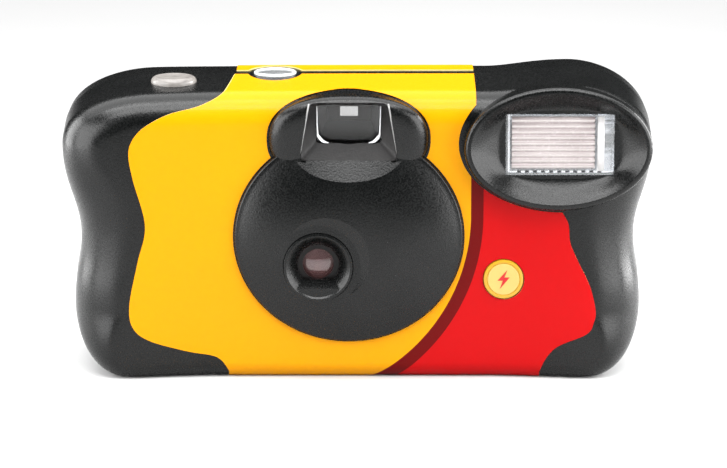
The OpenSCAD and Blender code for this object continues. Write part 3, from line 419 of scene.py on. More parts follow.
# Printed fields of the front label
STRIPE_MID = np.array([-15.1, 33.3])
STRIPE_IN, STRIPE_OUT = 37.8, 40.3
STRIPE_TOP = 50
YELLOW, DARK_RED, RED = rgb(198, 132, 1), rgb(86, 1, 1), rgb(160, 3, 6)


def printed_film():
    """Printed film: a yellow field, and a red one past a dark stripe.

    The stripe is an arc below the height of its centre and upright above it, so the distance is
    taken from the centre with the height difference limited to what lies below.
    """
    made = Finish("printed_film", Specular_IOR_Level=0.05, Coat_Weight=0.12, Coat_Roughness=0.14)
    spot = made.add("SeparateXYZ", {"Vector": made.place()})
    across = made.math("SUBTRACT", spot.outputs["X"], STRIPE_MID[0] * MM)
    below = made.math("MINIMUM", made.math("SUBTRACT", spot.outputs["Z"], STRIPE_MID[1] * MM), 0.0)
    reach = made.math("SQRT", made.math("ADD", made.math("MULTIPLY", across, across),
                                        made.math("MULTIPLY", below, below)))
    right = made.math("MULTIPLY", reach, made.math("GREATER_THAN", across, 0.0))
    front = made.math("MULTIPLY", right, made.math("LESS_THAN", spot.outputs["Z"], STRIPE_TOP * MM))
    in_stripe = made.math("GREATER_THAN", front, STRIPE_IN * MM)
    in_red = made.math("GREATER_THAN", front, STRIPE_OUT * MM)
    mottle = made.ramp(made.noise(1.2, 4), (0.3, 0.965), (0.7, 1.0))
    mixed = made.add("Mix", {"Factor": in_stripe, "A": YELLOW, "B": DARK_RED}, data_type="RGBA")
    printed = made.add("Mix", {"Factor": in_red, "A": mixed.outputs["Result"], "B": RED}, data_type="RGBA")
    toned = made.add("Mix", {"Factor": 1.0, "A": printed.outputs["Result"], "B": mottle},
                     data_type="RGBA", blend_type="MULTIPLY")
    fibre = made.noise(0.5, 3)
    made.feed(Base_Color=toned.outputs["Result"], Roughness=made.ramp(fibre, (0.3, 0.34), (0.7, 0.44)))
    return made.bump(fibre, 0.003).material


def clear_finish(name, tint, alpha, rough=0.03):
    """Clear moulded plastic: mostly see-through, with its gloss on top and faint flow marks."""
    made = Finish(name, Alpha=alpha, Specular_IOR_Level=0.9, Coat_Weight=1.0, Coat_Roughness=0.02)
    flow = made.noise(3, 2)
    made.feed(Base_Color=made.ramp(flow, (0.3, tuple(0.9 * t for t in tint[:3]) + (1,)), (0.7, tint)),
              Roughness=made.ramp(flow, (0.3, rough), (0.7, rough + 0.05)))
    return made.material


# Tones of the charge button
RING_YELLOW, PALE_YELLOW = rgb(172, 130, 18), rgb(178, 150, 78)
PALE_RADIUS = 3.15


def two_tone_button():
    """Pale middle and yellow ring of the charge button, told apart by the distance from its centre."""
    made = Finish("charge_button_face", Coat_Weight=0.2, Coat_Roughness=0.15)
    place = made.add("Mapping", {"Vector": made.place(),
                                 "Location": (-CHARGE[0] * MM, 0, -CHARGE[2] * MM), "Scale": (1, 0, 1)})
    reach = made.add("VectorMath", {0: place.outputs["Vector"]}, operation="LENGTH").outputs["Value"]
    inside = made.math("LESS_THAN", reach, PALE_RADIUS * MM)
    wear = made.ramp(made.noise(2, 3), (0.3, 0.95), (0.7, 1.0))
    tone = made.add("Mix", {"Factor": inside, "A": RING_YELLOW, "B": PALE_YELLOW}, data_type="RGBA")
    worn = made.add("Mix", {"Factor": 1.0, "A": tone.outputs["Result"], "B": wear}, data_type="RGBA",
                    blend_type="MULTIPLY")
    grain = made.noise(0.4, 3)
    made.feed(Base_Color=worn.outputs["Result"], Roughness=made.ramp(grain, (0.3, 0.3), (0.7, 0.42)))
    return made.bump(grain, 0.005).material


def ribbed_diffuser():
    """Frosted flash lens: painted light and shade in bands that follow the ribs, over a slow drift from
    grey-pink to white.
    """
    made = Finish("flash_diffuser", Coat_Weight=0.5, Coat_Roughness=0.1)
    height = made.add("SeparateXYZ", {"Vector": made.place()}).outputs["Z"]
    turns = made.math("MULTIPLY", made.math("SUBTRACT", height, RIB_LOW * MM), 2 * math.pi / (RIB_STEP * MM))
    # Painted shading of the ribs: lighter and darker bands in step with each rib
    painted_rib_shade = made.math("ADD", made.math("MULTIPLY", made.math("SINE", turns), 0.35), 0.5)
    mixed = made.math("ADD", made.math("MULTIPLY", painted_rib_shade, 0.7), made.math("MULTIPLY", made.noise(6, 2), 0.3))
    grain = made.noise(0.8, 2)
    made.feed(Base_Color=made.ramp(mixed, (0.2, rgb(122, 111, 111)), (0.75, rgb(182, 175, 174))),
              Roughness=made.ramp(grain, (0.3, 0.2), (0.7, 0.3)))
    return made.bump(grain, 0.01).material


def clear_glass():
    """Polished clear plastic that bends light, with faint flow marks in its gloss."""
    made = Finish("finder_glass", Transmission_Weight=1.0, IOR=1.49)
    return made.feed(Roughness=made.ramp(made.noise(4, 2), (0.3, 0.0), (0.7, 0.03))).material


BLACK = grained_plastic("grained_black", rgb(5, 6, 6), rgb(10, 11, 11))
FILM_PRINT = printed_film()
FILM_EDGE = plain_finish("film_edge", rgb(214, 196, 124), rgb(224, 208, 150))
REAR_PRINT = plain_finish("rear_print", YELLOW, rgb(201, 135, 1), 3, Specular_IOR_Level=0.05,
                          Coat_Weight=0.12, Coat_Roughness=0.14)
SATIN_GREY = plain_finish("satin_grey", rgb(104, 100, 97), rgb(124, 120, 116), 2.5, (0.28, 0.4), 0.2, 0.006)
GLASS = clear_glass()
# Light grey for rods that paint the edge highlights on the viewfinder recess
HIGHLIGHT_GREY = plain_finish("painted_edge_highlight", rgb(122, 122, 122), rgb(142, 142, 141), 1.5)
FINDER_BLACK = grained_plastic("finder_black", rgb(10, 9, 9), rgb(17, 15, 15), 0.4, 0.03, (0.4, 0.55), 0.3)
CLEAR = clear_finish("clear_plastic", (0.9, 0.93, 0.95, 1), 0.16)
# Pale, mostly opaque clear plastic that paints bright highlights on the window posts and the counter rim
CLEAR_HIGHLIGHT = clear_finish("clear_edge_highlight", (0.92, 0.93, 0.95, 1), 0.75, 0.2)
LENS_GLASS = clear_finish("coated_lens", (0.2, 0.1, 0.1, 1), 0.6, 0.02)
DIFFUSER = ribbed_diffuser()
STRIP_WHITE = plain_finish("white_strip", rgb(206, 204, 204), rgb(222, 221, 221), 3)
BUTTON_FACE = two_tone_button()
BOLT_RED = plain_finish("bolt_red", rgb(158, 10, 12), rgb(174, 14, 16), 1)
INNER_GREY = grained_plastic("inner_grey", rgb(46, 46, 48), rgb(60, 60, 63), 0.4, 0.01)
IVORY = plain_finish("ivory_plastic", rgb(222, 217, 203), rgb(238, 234, 222))
STEEL = plain_finish("spring_steel", rgb(168, 171, 176), rgb(196, 198, 202), 1.5, (0.2, 0.34), Metallic=1.0)
BRASS = plain_finish("contact_brass", rgb(190, 150, 66), rgb(214, 176, 92), 1.5, (0.22, 0.36), Metallic=1.0)
DARK_METAL = plain_finish("dark_metal", rgb(28, 28, 30), rgb(42, 42, 45), 2, (0.35, 0.5), Metallic=0.8)
CASSETTE = plain_finish("cassette_lacquer", rgb(48, 66, 52), rgb(60, 80, 64), 5, (0.25, 0.38))
FILM_BASE = plain_finish("film_base", rgb(96, 56, 30), rgb(116, 70, 38), 6, (0.15, 0.28))
MIRROR = plain_finish("bright_reflector", rgb(214, 217, 222), rgb(236, 238, 242), 3, (0.08, 0.16),
                      Metallic=1.0)
BOARD = plain_finish("green_board", rgb(36, 96, 52), rgb(52, 120, 66), 3)
SLEEVE = plain_finish("black_sleeve", rgb(24, 25, 28), rgb(40, 42, 46), 3, (0.22, 0.34))
WINDING = plain_finish("enamelled_wire", rgb(130, 66, 26), rgb(168, 92, 40), 0.6, (0.25, 0.4), Metallic=0.7)
LAMP = clear_finish("orange_lamp", (0.85, 0.35, 0.16, 1), 0.8, 0.06)
CELL = plain_finish("cell_sleeve", rgb(168, 114, 58), rgb(188, 132, 72), 5, (0.2, 0.34), Metallic=0.6)

NODE_FINISH = {
    "film_door": BLACK, "thumbwheel": BLACK, "charge_contact_plate": BRASS, "charge_switch_blades": BRASS,
    "viewfinder_frame": FINDER_BLACK, "viewfinder_eyepiece": CLEAR, "lens_holder": FINDER_BLACK,
    "aperture_plate": DARK_METAL, "shutter_blade": DARK_METAL, "shutter_spring": STEEL,
    "chassis": INNER_GREY, "cassette_shell": CASSETTE, "cassette_end_caps": DARK_METAL,
    "cassette_spool": BLACK, "film_strip": FILM_BASE, "film_roll": FILM_BASE, "supply_spool": BLACK,
    "metering_sprocket": IVORY, "counter_wheel": IVORY, "metering_lever": IVORY, "striker_lever": IVORY,
    "striker_spring": STEEL, "flash_reflector": MIRROR, "flash_tube": CLEAR, "tube_electrodes": STEEL,
    "circuit_board": BOARD, "flash_capacitor": SLEEVE, "transformer": WINDING, "trigger_coil": WINDING,
    "board_components": SLEEVE, "ready_lamp": LAMP, "ready_light_pipe": CLEAR, "sync_contacts": BRASS,
    "battery": CELL, "battery_plus_contact": STEEL, "battery_minus_contact": STEEL,
}


def coat(obj, material):
    """Covers an object with one material."""
    obj.data.materials.clear()
    obj.data.materials.append(material)
    return obj


def finish_piece(obj, body, node, material=None):
    """Seats a new piece on its body and lets it stand for its frame node, if it has one."""
    if material:
        coat(obj, material)
    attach(obj, body)
    if node:
        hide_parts(node)
    return obj


# Front cover

# Steps over a skin's face, fillet and side
FACE_STEPS = np.concatenate([np.linspace(0.06, 1, 14), np.linspace(1, 2, 15)[1:], np.linspace(2, 3, 5)[1:]])
# Dome of the lens panel, and the depth in the front wall where the hood and the pod begin
DOME_RISE, DOME_POWER, RIM_ROUND = 3.6, 2.4, 0.5
ROOT_Y = FACE_Y + 1.4


def lens_panel(name, d, back):
    """Oval dome pushed out by d: its depth grows with a power of the distance from the middle.

    A round rim follows, and a wall back to the given depth.
    """
    radii = PANEL_RADII + d - RIM_ROUND
    spread = np.linspace(0.05, 1, 30)
    dome = [oval(PANEL_MID, radii * s, FRONT_Y - d + DOME_RISE * s ** DOME_POWER) for s in spread]
    turn = np.linspace(0, np.pi / 2, 7)[1:]
    rim = [oval(PANEL_MID, radii + RIM_ROUND * np.sin(t),
                FRONT_Y - d + DOME_RISE + RIM_ROUND * (1 - np.cos(t))) for t in turn]
    return loft(name, np.stack(dome + rim + [oval(PANEL_MID, radii + RIM_ROUND, back)]))


HOOD_FRONT = FRONT_Y + 1.6
HOOD_ROUND = 2.8
LEAN, LEAN_SPAN = 1.1, 10.8
BROW_Z = TOP_Z - 3
# Run of the hood's wall past its root, and how far below the top it sets in
HOOD_RUN, HOOD_RUN_LOW, HOOD_RUN_SPAN = 4.6, 11, 8


def hood_lean(z):
    """How far the hood's front leans back below its brow."""
    return LEAN * np.clip((BROW_Z - z) / LEAN_SPAN, 0, 1.5)


def hood_back(x, z):
    """Depth where the hood's wall ends: in the front wall, and further back towards the top."""
    return ROOT_Y + HOOD_RUN * ease((z - TOP_Z + HOOD_RUN_LOW) / HOOD_RUN_SPAN)


def finder_hood():
    """Visor over the viewfinder: squarish rings on a front that leans back downwards.

    The edge is round: its depth follows a curve of the eighth power of the share of the radius.
    """
    spread = 1 - np.linspace(0.95, 0, 26) ** 2
    edge = HOOD_ROUND * (1 - np.sqrt(1 - spread ** 8))
    rings = [oval(HOOD_MID, HOOD_RADII * s, lambda x, z, e=e: HOOD_FRONT + hood_lean(z) + e, HOOD_POWER)
             for s, e in zip(spread, edge)]
    return loft("hood", np.stack(rings + [oval(HOOD_MID, HOOD_RADII, hood_back, HOOD_POWER)]))


POD_FRONT = FRONT_Y + 0.7
POD_ROUND = 0.9
POD_DROP = 0.45
DISH_Y = POD_FRONT + 3.5
# Run of the pod's wall past its root, and how far in from the side and below the top it sets in
POD_RUN = 9
SIDE_RUN_IN, SIDE_RUN_SPAN = 24, 22
TOP_RUN_LOW, TOP_RUN_SPAN = 9, 8


def pod_back(x, z):
    """Depth where the pod's wall ends: in the front wall, and further back towards the side and the top."""
    to_side = ease((x - HALF_W + SIDE_RUN_IN) / SIDE_RUN_SPAN)
    to_top = ease((z - TOP_Z + TOP_RUN_LOW) / TOP_RUN_SPAN)
    return ROOT_Y + POD_RUN * np.maximum(to_side, to_top)


def flash_pod():
    """Oval pod: a round rim, then walls that run back into the body and drop a little at the top."""
    turn = np.linspace(0, np.pi / 2, 9)
    rim = [oval(POD_MID, POD_RADII - POD_ROUND * (1 - np.sin(t)), POD_FRONT + POD_ROUND * (1 - np.cos(t)))
           for t in turn]
    back = oval(POD_MID - [0, POD_DROP], POD_RADII + [0.3, -POD_DROP], pod_back)
    return loft("pod", np.stack([oval(POD_MID, POD_RADII * 0.3, POD_FRONT)] + rim + [back]))


def pod_dish():
    """Concave dish: from the oval rim to a squarish edge round the window, steep first and then flat."""
    share = np.linspace(0, 1, 18)
    low = np.array([FLASH[0], FLASH[2]])
    small = np.array([WINDOW_HALF[0] + 1.2, WINDOW_HALF[2] + 0.8])
    large = POD_RADII - 1.2
    rings = [oval(POD_MID + (low - POD_MID) * t, large + (small - large) * t,
                  POD_FRONT + 0.2 + (DISH_Y - POD_FRONT - 0.2) * (1 - (1 - t) ** 1.25), 2 + 1.6 * t ** 2)
             for t in share]
    return loft("dish", np.stack([oval(POD_MID, POD_RADII - 1.0, POD_FRONT - 1)] + rings))


def pod_void():
    """Room behind the dish for the reflector and its tube."""
    y0 = DISH_Y + 1.4
    return loft("void", np.stack([oval(POD_MID, POD_RADII - WALL - 1, y0, 3),
                                  oval(POD_MID, POD_RADII - WALL - 0.6, FACE_Y + 12)]))


WINDOW_LOW, WINDOW_HIGH = corners("viewfinder_front_lens")
RECESS_BACK = WINDOW_LOW[1]
LEDGE_Y, LEDGE_Z = FRONT_Y + 3.25, LENS[2] + 21.2
LEDGE_HALF, LEDGE_BOW, LEDGE_SLOPE = 10.6, 0.56, 0.74


def finder_recess():
    """Flared recess in front of the viewfinder: rings grow from the window to the hood."""
    x, low, high = FINDER[0], WINDOW_LOW[2] + 0.3, WINDOW_HIGH[2] - 0.2
    return loft("recess", np.stack([
        trapezoid(x, low, high, 6.6, 6.6, RECESS_BACK),
        trapezoid(x, LEDGE_Z, high + 0.8, 9.7, 7.4, LEDGE_Y),
        trapezoid(x, LEDGE_Z, high + 1.4, 11.2, 8.9, FRONT_Y - 1),
    ]))


def panel_ledge():
    """Scoop below the recess, which cuts a crescent off the top of the dome.

    It gets shallower with the square of the distance from its middle, and downwards.
    """
    across = np.linspace(-1.4, 1.4, 29)[:, None]
    z = LEDGE_Z + np.array([-7, -7, 0.05, 0.05])
    slope = LEDGE_Y - LEDGE_BOW * across ** 2 + (z - LEDGE_Z) * LEDGE_SLOPE
    y = np.where([True, False, False, True], FRONT_Y - 1, np.maximum(slope, FRONT_Y - 0.9))
    return loft("ledge", np.stack([FINDER[0] + LEDGE_HALF * across + 0 * z, y, 0 * across + z], -1))


LAND_RADIUS, LAND_Y = 8.2, FRONT_Y + 0.8
BEZEL_RADIUS = half_size("lens_bezel")[0]
CHARGE_RADIUS = 4.0
BUTTON_RADIUS = 4.6
COUNTER_RADIUS = half_size("counter_window")[0]
DOOR_LOW, DOOR_HIGH = corners("film_door")
PLAY = 0.15


def cassette_opening():
    """Opening in the base that the film door closes."""
    return block("base_opening", DOOR_LOW - [PLAY, PLAY, 2], DOOR_HIGH + [PLAY, PLAY, 0.3])


def bore(name, radius, start, end, mid, axis="z"):
    """Round cutter with a little play, along an upright axis or one along the depth."""
    return turned(name, [(radius + PLAY, start), (radius + PLAY, end)], mid, axis)


def counter_bore():
    """Hole for the counter window, which lies on the seam and cuts both covers."""
    return bore("counter_bore", COUNTER_RADIUS, TOP_Z - 6, TOP_Z + 3, COUNTER_AXIS)


def flash_way():
    """Opening from the dish to the flash window."""
    half_x, half_z = WINDOW_HALF[0] + PLAY, WINDOW_HALF[2] + PLAY
    return block("flash_way", [FLASH[0] - half_x, DISH_Y - 1, FLASH[2] - half_z],
                 [FLASH[0] + half_x, DISH_Y + 3, FLASH[2] + half_z])


def finder_way():
    """Opening behind the viewfinder's front lens."""
    half_x = 7.5
    return block("finder_way", [FINDER[0] - half_x, RECESS_BACK - 0.01, WINDOW_LOW[2] - 0.7],
                 [FINDER[0] + half_x, 0, WINDOW_HIGH[2] + 0.3])


def front_cover():
    """Front cover: the body skin with its panel, hood and pod, then every opening cut through it."""
    cover = shell("front_cover_skin", front_skin, 0.0, -WALL, FACE_STEPS)
    combine(cover, "UNION", lens_panel("panel", 0, FACE_Y + WALL / 2), finder_hood(), flash_pod())
    cone = [(LAND_RADIUS + 4.5, FRONT_Y - 0.6), (LAND_RADIUS + 0.3, LAND_Y)]
    ways = [
        lens_panel("panel_inside", -WALL, FACE_Y + WALL + 1), pod_void(), pod_dish(), panel_ledge(),
        finder_way(), turned("facing", cone, LENS_AXIS, "y"),
        bore("bezel_bore", BEZEL_RADIUS, FRONT_Y - 1, FACE_Y + 3, LENS_AXIS, "y"),
        bore("charge_bore", CHARGE_RADIUS, FACE_Y - 3, FACE_Y + 3, CHARGE_AXIS, "y"),
        bore("button_bore", BUTTON_RADIUS, TOP_Z - 4, TOP_Z + 3, BUTTON_AXIS),
        counter_bore(), flash_way(), cassette_opening(),
    ]
    combine(coat(cover, BLACK), "DIFFERENCE", *[coat(way, BLACK) for way in ways],
            coat(finder_recess(), FINDER_BLACK))
    return finish_piece(crease(cover, 17), "camera", "front_cover")


# Rear cover

EYEPIECE_LOW, EYEPIECE_HIGH = corners("viewfinder_eyepiece")
LAMP_MID = middle("ready_light_pipe")
LAMP_BORE = 1.55
WHEEL_LOW, WHEEL_HIGH = corners("thumbwheel")
WHEEL_X = middle("thumbwheel")[0]
SLOT_HALF, SLOT_CLEAR = 8.7, 0.3
REAR_IN = REAR_Y - WALL


def hinge_lugs():
    """Two lugs inside the base that carry the film door's pin."""
    lug_w = 1.4
    return [block("lug", [x, REAR_IN - 2.1, 0.4], [x + lug_w, REAR_IN + 0.4, 2.25])
            for x in (DOOR_LOW[0] + 3, DOOR_HIGH[0] - 1 - lug_w)]


def rear_cover():
    """Rear cover: the back skin with its wheel slot, eyepiece, lamp hole and base opening."""
    cover = shell("rear_cover_skin", rear_skin, 0.0, -WALL, FACE_STEPS)
    slot = block("wheel_slot", [WHEEL_X - SLOT_HALF, REAR_IN - 3, WHEEL_LOW[2] - SLOT_CLEAR],
                 [WHEEL_X + SLOT_HALF, REAR_Y + 1, WHEEL_HIGH[2] + SLOT_CLEAR])
    eye_way = block("eye_way", [EYEPIECE_LOW[0] - PLAY, REAR_IN - 1, EYEPIECE_LOW[2] - PLAY],
                    [EYEPIECE_HIGH[0] + PLAY, REAR_Y + 1, EYEPIECE_HIGH[2] + PLAY])
    lamp_way = turned("lamp_way", [(LAMP_BORE, REAR_IN - 1), (LAMP_BORE, REAR_Y + 1)],
                      (LAMP_MID[0], 0, LAMP_MID[2]), "y")
    combine(cover, "DIFFERENCE", slot, eye_way, lamp_way, counter_bore(), cassette_opening())
    combine(cover, "UNION", *hinge_lugs())
    return finish_piece(crease(cover), "camera", "rear_cover", BLACK)


# Labels

# How far the films' outer and inner faces stand off the case, and the bare band on each side of the seam
LABEL_OUT, LABEL_IN, REAR_LABEL_IN = 0.2, 0.05, -0.1
SEAM_BAND = 1.8
STRIP_LEFT, STRIP_RIGHT = -24.6, 23.65
# Outline of the front label in (x, z) points: up its left side, over the top strip and down its right side
LABEL_LEFT = [(-26, 0.02), (-26, 1.6), (-28.3, 4.3), (-34.2, 5.6), (-41.7, 8), (-45, 10.8), (-45.6, 15.5),
              (-43.9, 24), (-42.3, 31.6), (-44.6, 41), (-45.4, 46), (-44.6, 49), (-42.2, 51.6), (-37.6, 53.9),
              (-32, 55.2), (-28.4, 56.6), (-26.2, 57.9), (STRIP_LEFT, 59.1)]
LABEL_RIGHT = [(40.9, 34.3), (42.1, 31.9), (42.5, 28.2), (44.1, 24.4), (46.5, 19.4), (47.7, 14.4), (47.4, 12),
               (46, 9.5), (40.6, 7), (38.2, 4.7), (36.7, 1.6), (36.7, 0.02)]
LABEL_TOP = [(STRIP_LEFT, HUMP_Z + 9), (STRIP_RIGHT, HUMP_Z + 9), (STRIP_RIGHT, 54.5), (30, 50), (40, 44)]
POD_MARGIN, POD_SHIFT, PANEL_MARGIN = np.array([1.1, 1.2]), np.array([0, 0.5]), 0.3
COUNTER_EYE = (5.6, 7.0)
EYE_MARGIN = 1.5
REAR_PANEL_X, REAR_PANEL_HALF = 0.5, 45.5
REAR_PANEL_LOW, REAR_PANEL_HIGH = 6, 43.3


def oval_way(name, mid, radii, power=2.0):
    """Oval cutter through the front label."""
    return loft(name, np.stack([oval(mid, radii, y, power) for y in (FRONT_Y - 2, SEAM_Y + 1)]))


def counter_eye(name):
    """Upright oval cutter that leaves a black eye round the counter window."""
    rings = [oval(COUNTER[:2], COUNTER_EYE, z)[:, [0, 2, 1]] for z in (TOP_Z - 6, TOP_Z + 4)]
    return loft(name, np.stack(rings))


def front_label():
    """Printed film on the front: a thin skin trimmed to its outline and round the panel, hood and pod."""
    film = coat(shell("front_label_film", front_skin, LABEL_OUT, LABEL_IN, FACE_STEPS), FILM_PRINT)
    edge = np.concatenate([smooth_curve(LABEL_LEFT), LABEL_TOP, smooth_curve(LABEL_RIGHT)])
    combine(film, "INTERSECT", coat(through("label_edge", edge, FRONT_Y - 2, SEAM_Y - SEAM_BAND), FILM_EDGE))
    ways = [oval_way("panel_way", PANEL_MID, PANEL_RADII + PANEL_MARGIN),
            oval_way("hood_way", HOOD_MID, HOOD_RADII + PANEL_MARGIN, HOOD_POWER),
            oval_way("pod_way", POD_MID + POD_SHIFT, POD_RADII + POD_MARGIN),
            counter_eye("counter_way"),
            bore("button_way", CHARGE_RADIUS, FRONT_Y - 2, 0, CHARGE_AXIS, "y")]
    combine(film, "DIFFERENCE", *[coat(way, FILM_EDGE) for way in ways])
    return finish_piece(crease(film), "camera", "front_label")


def rear_label():
    """Plain film on the back, with a strip that runs over the top to the seam."""
    film = coat(shell("rear_label_film", rear_skin, LABEL_OUT, REAR_LABEL_IN, FACE_STEPS), REAR_PRINT)
    near, far = 12, 20
    rings = [trapezoid(REAR_PANEL_X, REAR_PANEL_LOW, REAR_PANEL_HIGH, REAR_PANEL_HALF, REAR_PANEL_HALF, y, 24)
             for y in (near, far)]
    panel = loft("rear_panel", np.stack(rings))
    strip = block("rear_strip", [STRIP_LEFT, SEAM_Y + SEAM_BAND, 40], [STRIP_RIGHT, far, 70])
    combine(panel, "UNION", strip)
    combine(film, "INTERSECT", coat(panel, FILM_EDGE))
    eye = block("eye_margin", [EYEPIECE_LOW[0] - EYE_MARGIN, near, EYEPIECE_LOW[2] - EYE_MARGIN],
                [EYEPIECE_HIGH[0] + EYE_MARGIN, far, EYEPIECE_HIGH[2] + EYE_MARGIN])
    combine(film, "DIFFERENCE", coat(eye, FILM_EDGE), coat(counter_eye("counter_margin"), FILM_EDGE))
    return finish_piece(crease(film), "camera", "rear_label")


# Controls and windows

STEM_RADIUS = 1.6
FLANGE_W, FLANGE_T = 0.9, 0.7
HOLLOW_RADIUS, HOLLOW_DEPTH = 3.4, 0.3
BUTTON_EDGE = 1.15


def round_edge(radius, height, size, steps):
    """Points of a profile that turn from an upright side into a flat top."""
    a = np.linspace(0, np.pi / 2, steps)
    return [(radius - size + size * math.cos(t), height - size + size * math.sin(t)) for t in a]


def shutter_button():
    """Dished release button with a rounded rim, its flange below the cover and its stem."""
    low, high = corners("shutter_button")
    flange = TOP_Z - 3.5
    dish = [(r, high[2] - 0.02 - HOLLOW_DEPTH * (1 - (r / HOLLOW_RADIUS) ** 2))
            for r in np.linspace(HOLLOW_RADIUS, 0.02, 14)]
    wide = BUTTON_RADIUS + FLANGE_W
    profile = [(0.02, low[2]), (STEM_RADIUS, low[2]), (STEM_RADIUS, flange), (wide, flange),
               (wide, flange + FLANGE_T), (BUTTON_RADIUS, flange + FLANGE_T)]
    profile += round_edge(BUTTON_RADIUS, high[2], BUTTON_EDGE, 9) + dish
    button = turned("shutter_button_cap", profile, BUTTON_AXIS)
    return finish_piece(crease(button), "release", "shutter_button", SATIN_GREY)


SPRING_WIRE, SPRING_TURNS = 0.3, 2


def button_coil():
    """Return spring under the release button: a round wire whose middle climbs a helix.
    """
    low, high = corners("button_spring")
    radius = half_size("button_spring")[0] - SPRING_WIRE
    turn = np.linspace(0, 2 * np.pi * SPRING_TURNS, SPRING_TURNS * 48 + 1)[:, None]
    around = np.linspace(0, 2 * np.pi, 16, endpoint=False)
    reach = radius + SPRING_WIRE * np.cos(around)
    climb = (high[2] - low[2] - 2 * SPRING_WIRE) * turn / turn[-1]
    z = low[2] + SPRING_WIRE + climb + SPRING_WIRE * np.sin(around)
    rings = np.stack([BUTTON[0] + reach * np.cos(turn), BUTTON[1] + reach * np.sin(turn), z], -1)
    coil = finish_piece(loft("button_coil", rings), "camera", "button_spring", STEEL)
    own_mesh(coil)


def counter_window():
    """Clear plug whose dome falls with the square of the radius, and a pale rim of round section that paints
    the bright highlight round the dome's edge.
    """
    low, high = corners("counter_window")
    bulge, rim_wire = 0.75, 0.3
    dome = [(r, high[2] - bulge * (r / COUNTER_RADIUS) ** 2) for r in np.linspace(COUNTER_RADIUS, 0.02, 16)]
    plug = turned("counter_window_dome", [(0.02, low[2]), (COUNTER_RADIUS, low[2])] + dome, COUNTER_AXIS)
    finish_piece(crease(plug), "camera", "counter_window", CLEAR)
    # Pale ring at the dome's edge: a painted highlight
    a = np.linspace(0, 2 * np.pi, 12, endpoint=False)
    section = [COUNTER_RADIUS - 0.35 + rim_wire * np.cos(a), high[2] - 0.65 + rim_wire * np.sin(a)]
    rim = turned("counter_rim_highlight", np.stack(section, -1), COUNTER_AXIS, closed=True)
    finish_piece(rim, "camera", None, CLEAR_HIGHLIGHT)


BOLT = [(0.75, 1.95), (-1.2, -0.25), (-0.15, -0.25), (-0.75, -1.95), (1.2, 0.4), (0.15, 0.4)]


def charge_button():
    """Round button in a yellow ring, with a bolt sign on its pale middle."""
    low, high = corners("flash_charge_button")
    front = low[1]
    flange = FACE_Y + WALL + 0.1
    face = [(0.02, front + 0.02), (3.1, front + 0.02), (3.2, front + 0.12), (3.3, front + 0.12), (3.4, front)]
    rim = [(CHARGE_RADIUS - 0.3, front), (CHARGE_RADIUS - 0.08, front + 0.08), (CHARGE_RADIUS, front + 0.3)]
    wide = CHARGE_RADIUS + FLANGE_W
    back = [(CHARGE_RADIUS, flange), (wide, flange), (wide, flange + FLANGE_T),
            (STEM_RADIUS, flange + FLANGE_T), (STEM_RADIUS, high[1]), (0.02, high[1])]
    button = turned("charge_button_cap", face + rim + back, CHARGE_AXIS, "y")
    finish_piece(crease(button), "charge", "flash_charge_button", BUTTON_FACE)
    sign = through("charge_bolt", np.array(BOLT) + [CHARGE[0], CHARGE[2]], front - 0.04, front + 0.2)
    finish_piece(crease(sign), "charge", None, BOLT_RED)


def finder_glass():
    """Viewfinder front lens: squarish rings with a hollow front and a flat back.

    The front is deepest in the middle and comes forward with the square of the distance from it.
    """
    mid, half = FINDER[[0, 2]], half_size("viewfinder_front_lens")[[0, 2]]
    hollow = 30.0
    deepest = WINDOW_LOW[1] + (half @ half) / (2 * hollow)

    def front_depth(x, z):
        return deepest - ((x - mid[0]) ** 2 + (z - mid[1]) ** 2) / (2 * hollow)

    front = [oval(mid, half * s, front_depth, 2 + 10 * s ** 2) for s in np.linspace(0.02, 1, 24)]
    back = [oval(mid, half * s, WINDOW_HIGH[1], 2 + 10 * s ** 2) for s in np.linspace(1, 0.02, 6)]
    glass = loft("finder_glass", np.stack(front + back))
    return finish_piece(crease(glass), "camera", "viewfinder_front_lens", GLASS)


def wire(name, path, radii, count=12):
    """Tube of changing radius along a path of points."""
    path = np.array(path)
    along = np.linspace(0, 1, len(path))
    r = np.interp(along, np.linspace(0, 1, len(radii)), radii)[:, None, None]
    slope = np.gradient(path, axis=0)
    slope /= np.linalg.norm(slope, axis=1, keepdims=True)
    side = np.cross(slope, [0.0, 1.0, 0.0])
    side /= np.linalg.norm(side, axis=1, keepdims=True)
    up = np.cross(side, slope)
    a = np.linspace(0, 2 * np.pi, count, endpoint=False)[None, :, None]
    return loft(name, path[:, None] + r * (np.cos(a) * side[:, None] + np.sin(a) * up[:, None]))


def finder_edges():
    """Bright edges: pale posts for the clear window's edges beside it, thicker at its lower corners, with
    their highlight painted into their finish, and light grey rods on the recess sides that are painted edge
    highlights.
    """
    x, low, high = FINDER[0], WINDOW_LOW[2] + 0.35, WINDOW_HIGH[2] - 0.4
    lip = RECESS_BACK - 0.1
    for side, name in ((-1, "left"), (1, "right")):
        # Posts for the clear window's edges, their bright highlight painted into their pale finish
        bend = [(6.35, high), (6.2, low + 2.2), (5.9, low + 1.2), (5.1, low + 0.35), (4.0, low)]
        corner = [(x + side * reach, lip, z) for reach, z in bend]
        post = wire(f"finder_post_{name}", smooth_curve(corner), [0.1, 0.14, 0.34, 0.3, 0.08])
        finish_piece(post, "camera", None, CLEAR_HIGHLIGHT)
        # Grey rods on the recess sides: painted highlights on its edges
        rise = [(x + side * 9.85, LEDGE_Y - 0.12, LEDGE_Z + 0.35),
                (x + side * 7.85, HOOD_FRONT + 0.12, high + 1.0)]
        edge = wire(f"recess_highlight_{name}", smooth_curve(rise), [0.16, 0.16])
        finish_piece(edge, "camera", None, HIGHLIGHT_GREY)


def chord(radius, below, depth, count=48):
    """Piece of a disc below a level line, as a ring at one depth."""
    start = math.asin(below / radius)
    a = np.linspace(np.pi + start, 2 * np.pi - start, count)
    return np.stack([LENS[0] + radius * np.cos(a), np.full(count, depth), LENS[2] + radius * np.sin(a)], -1)


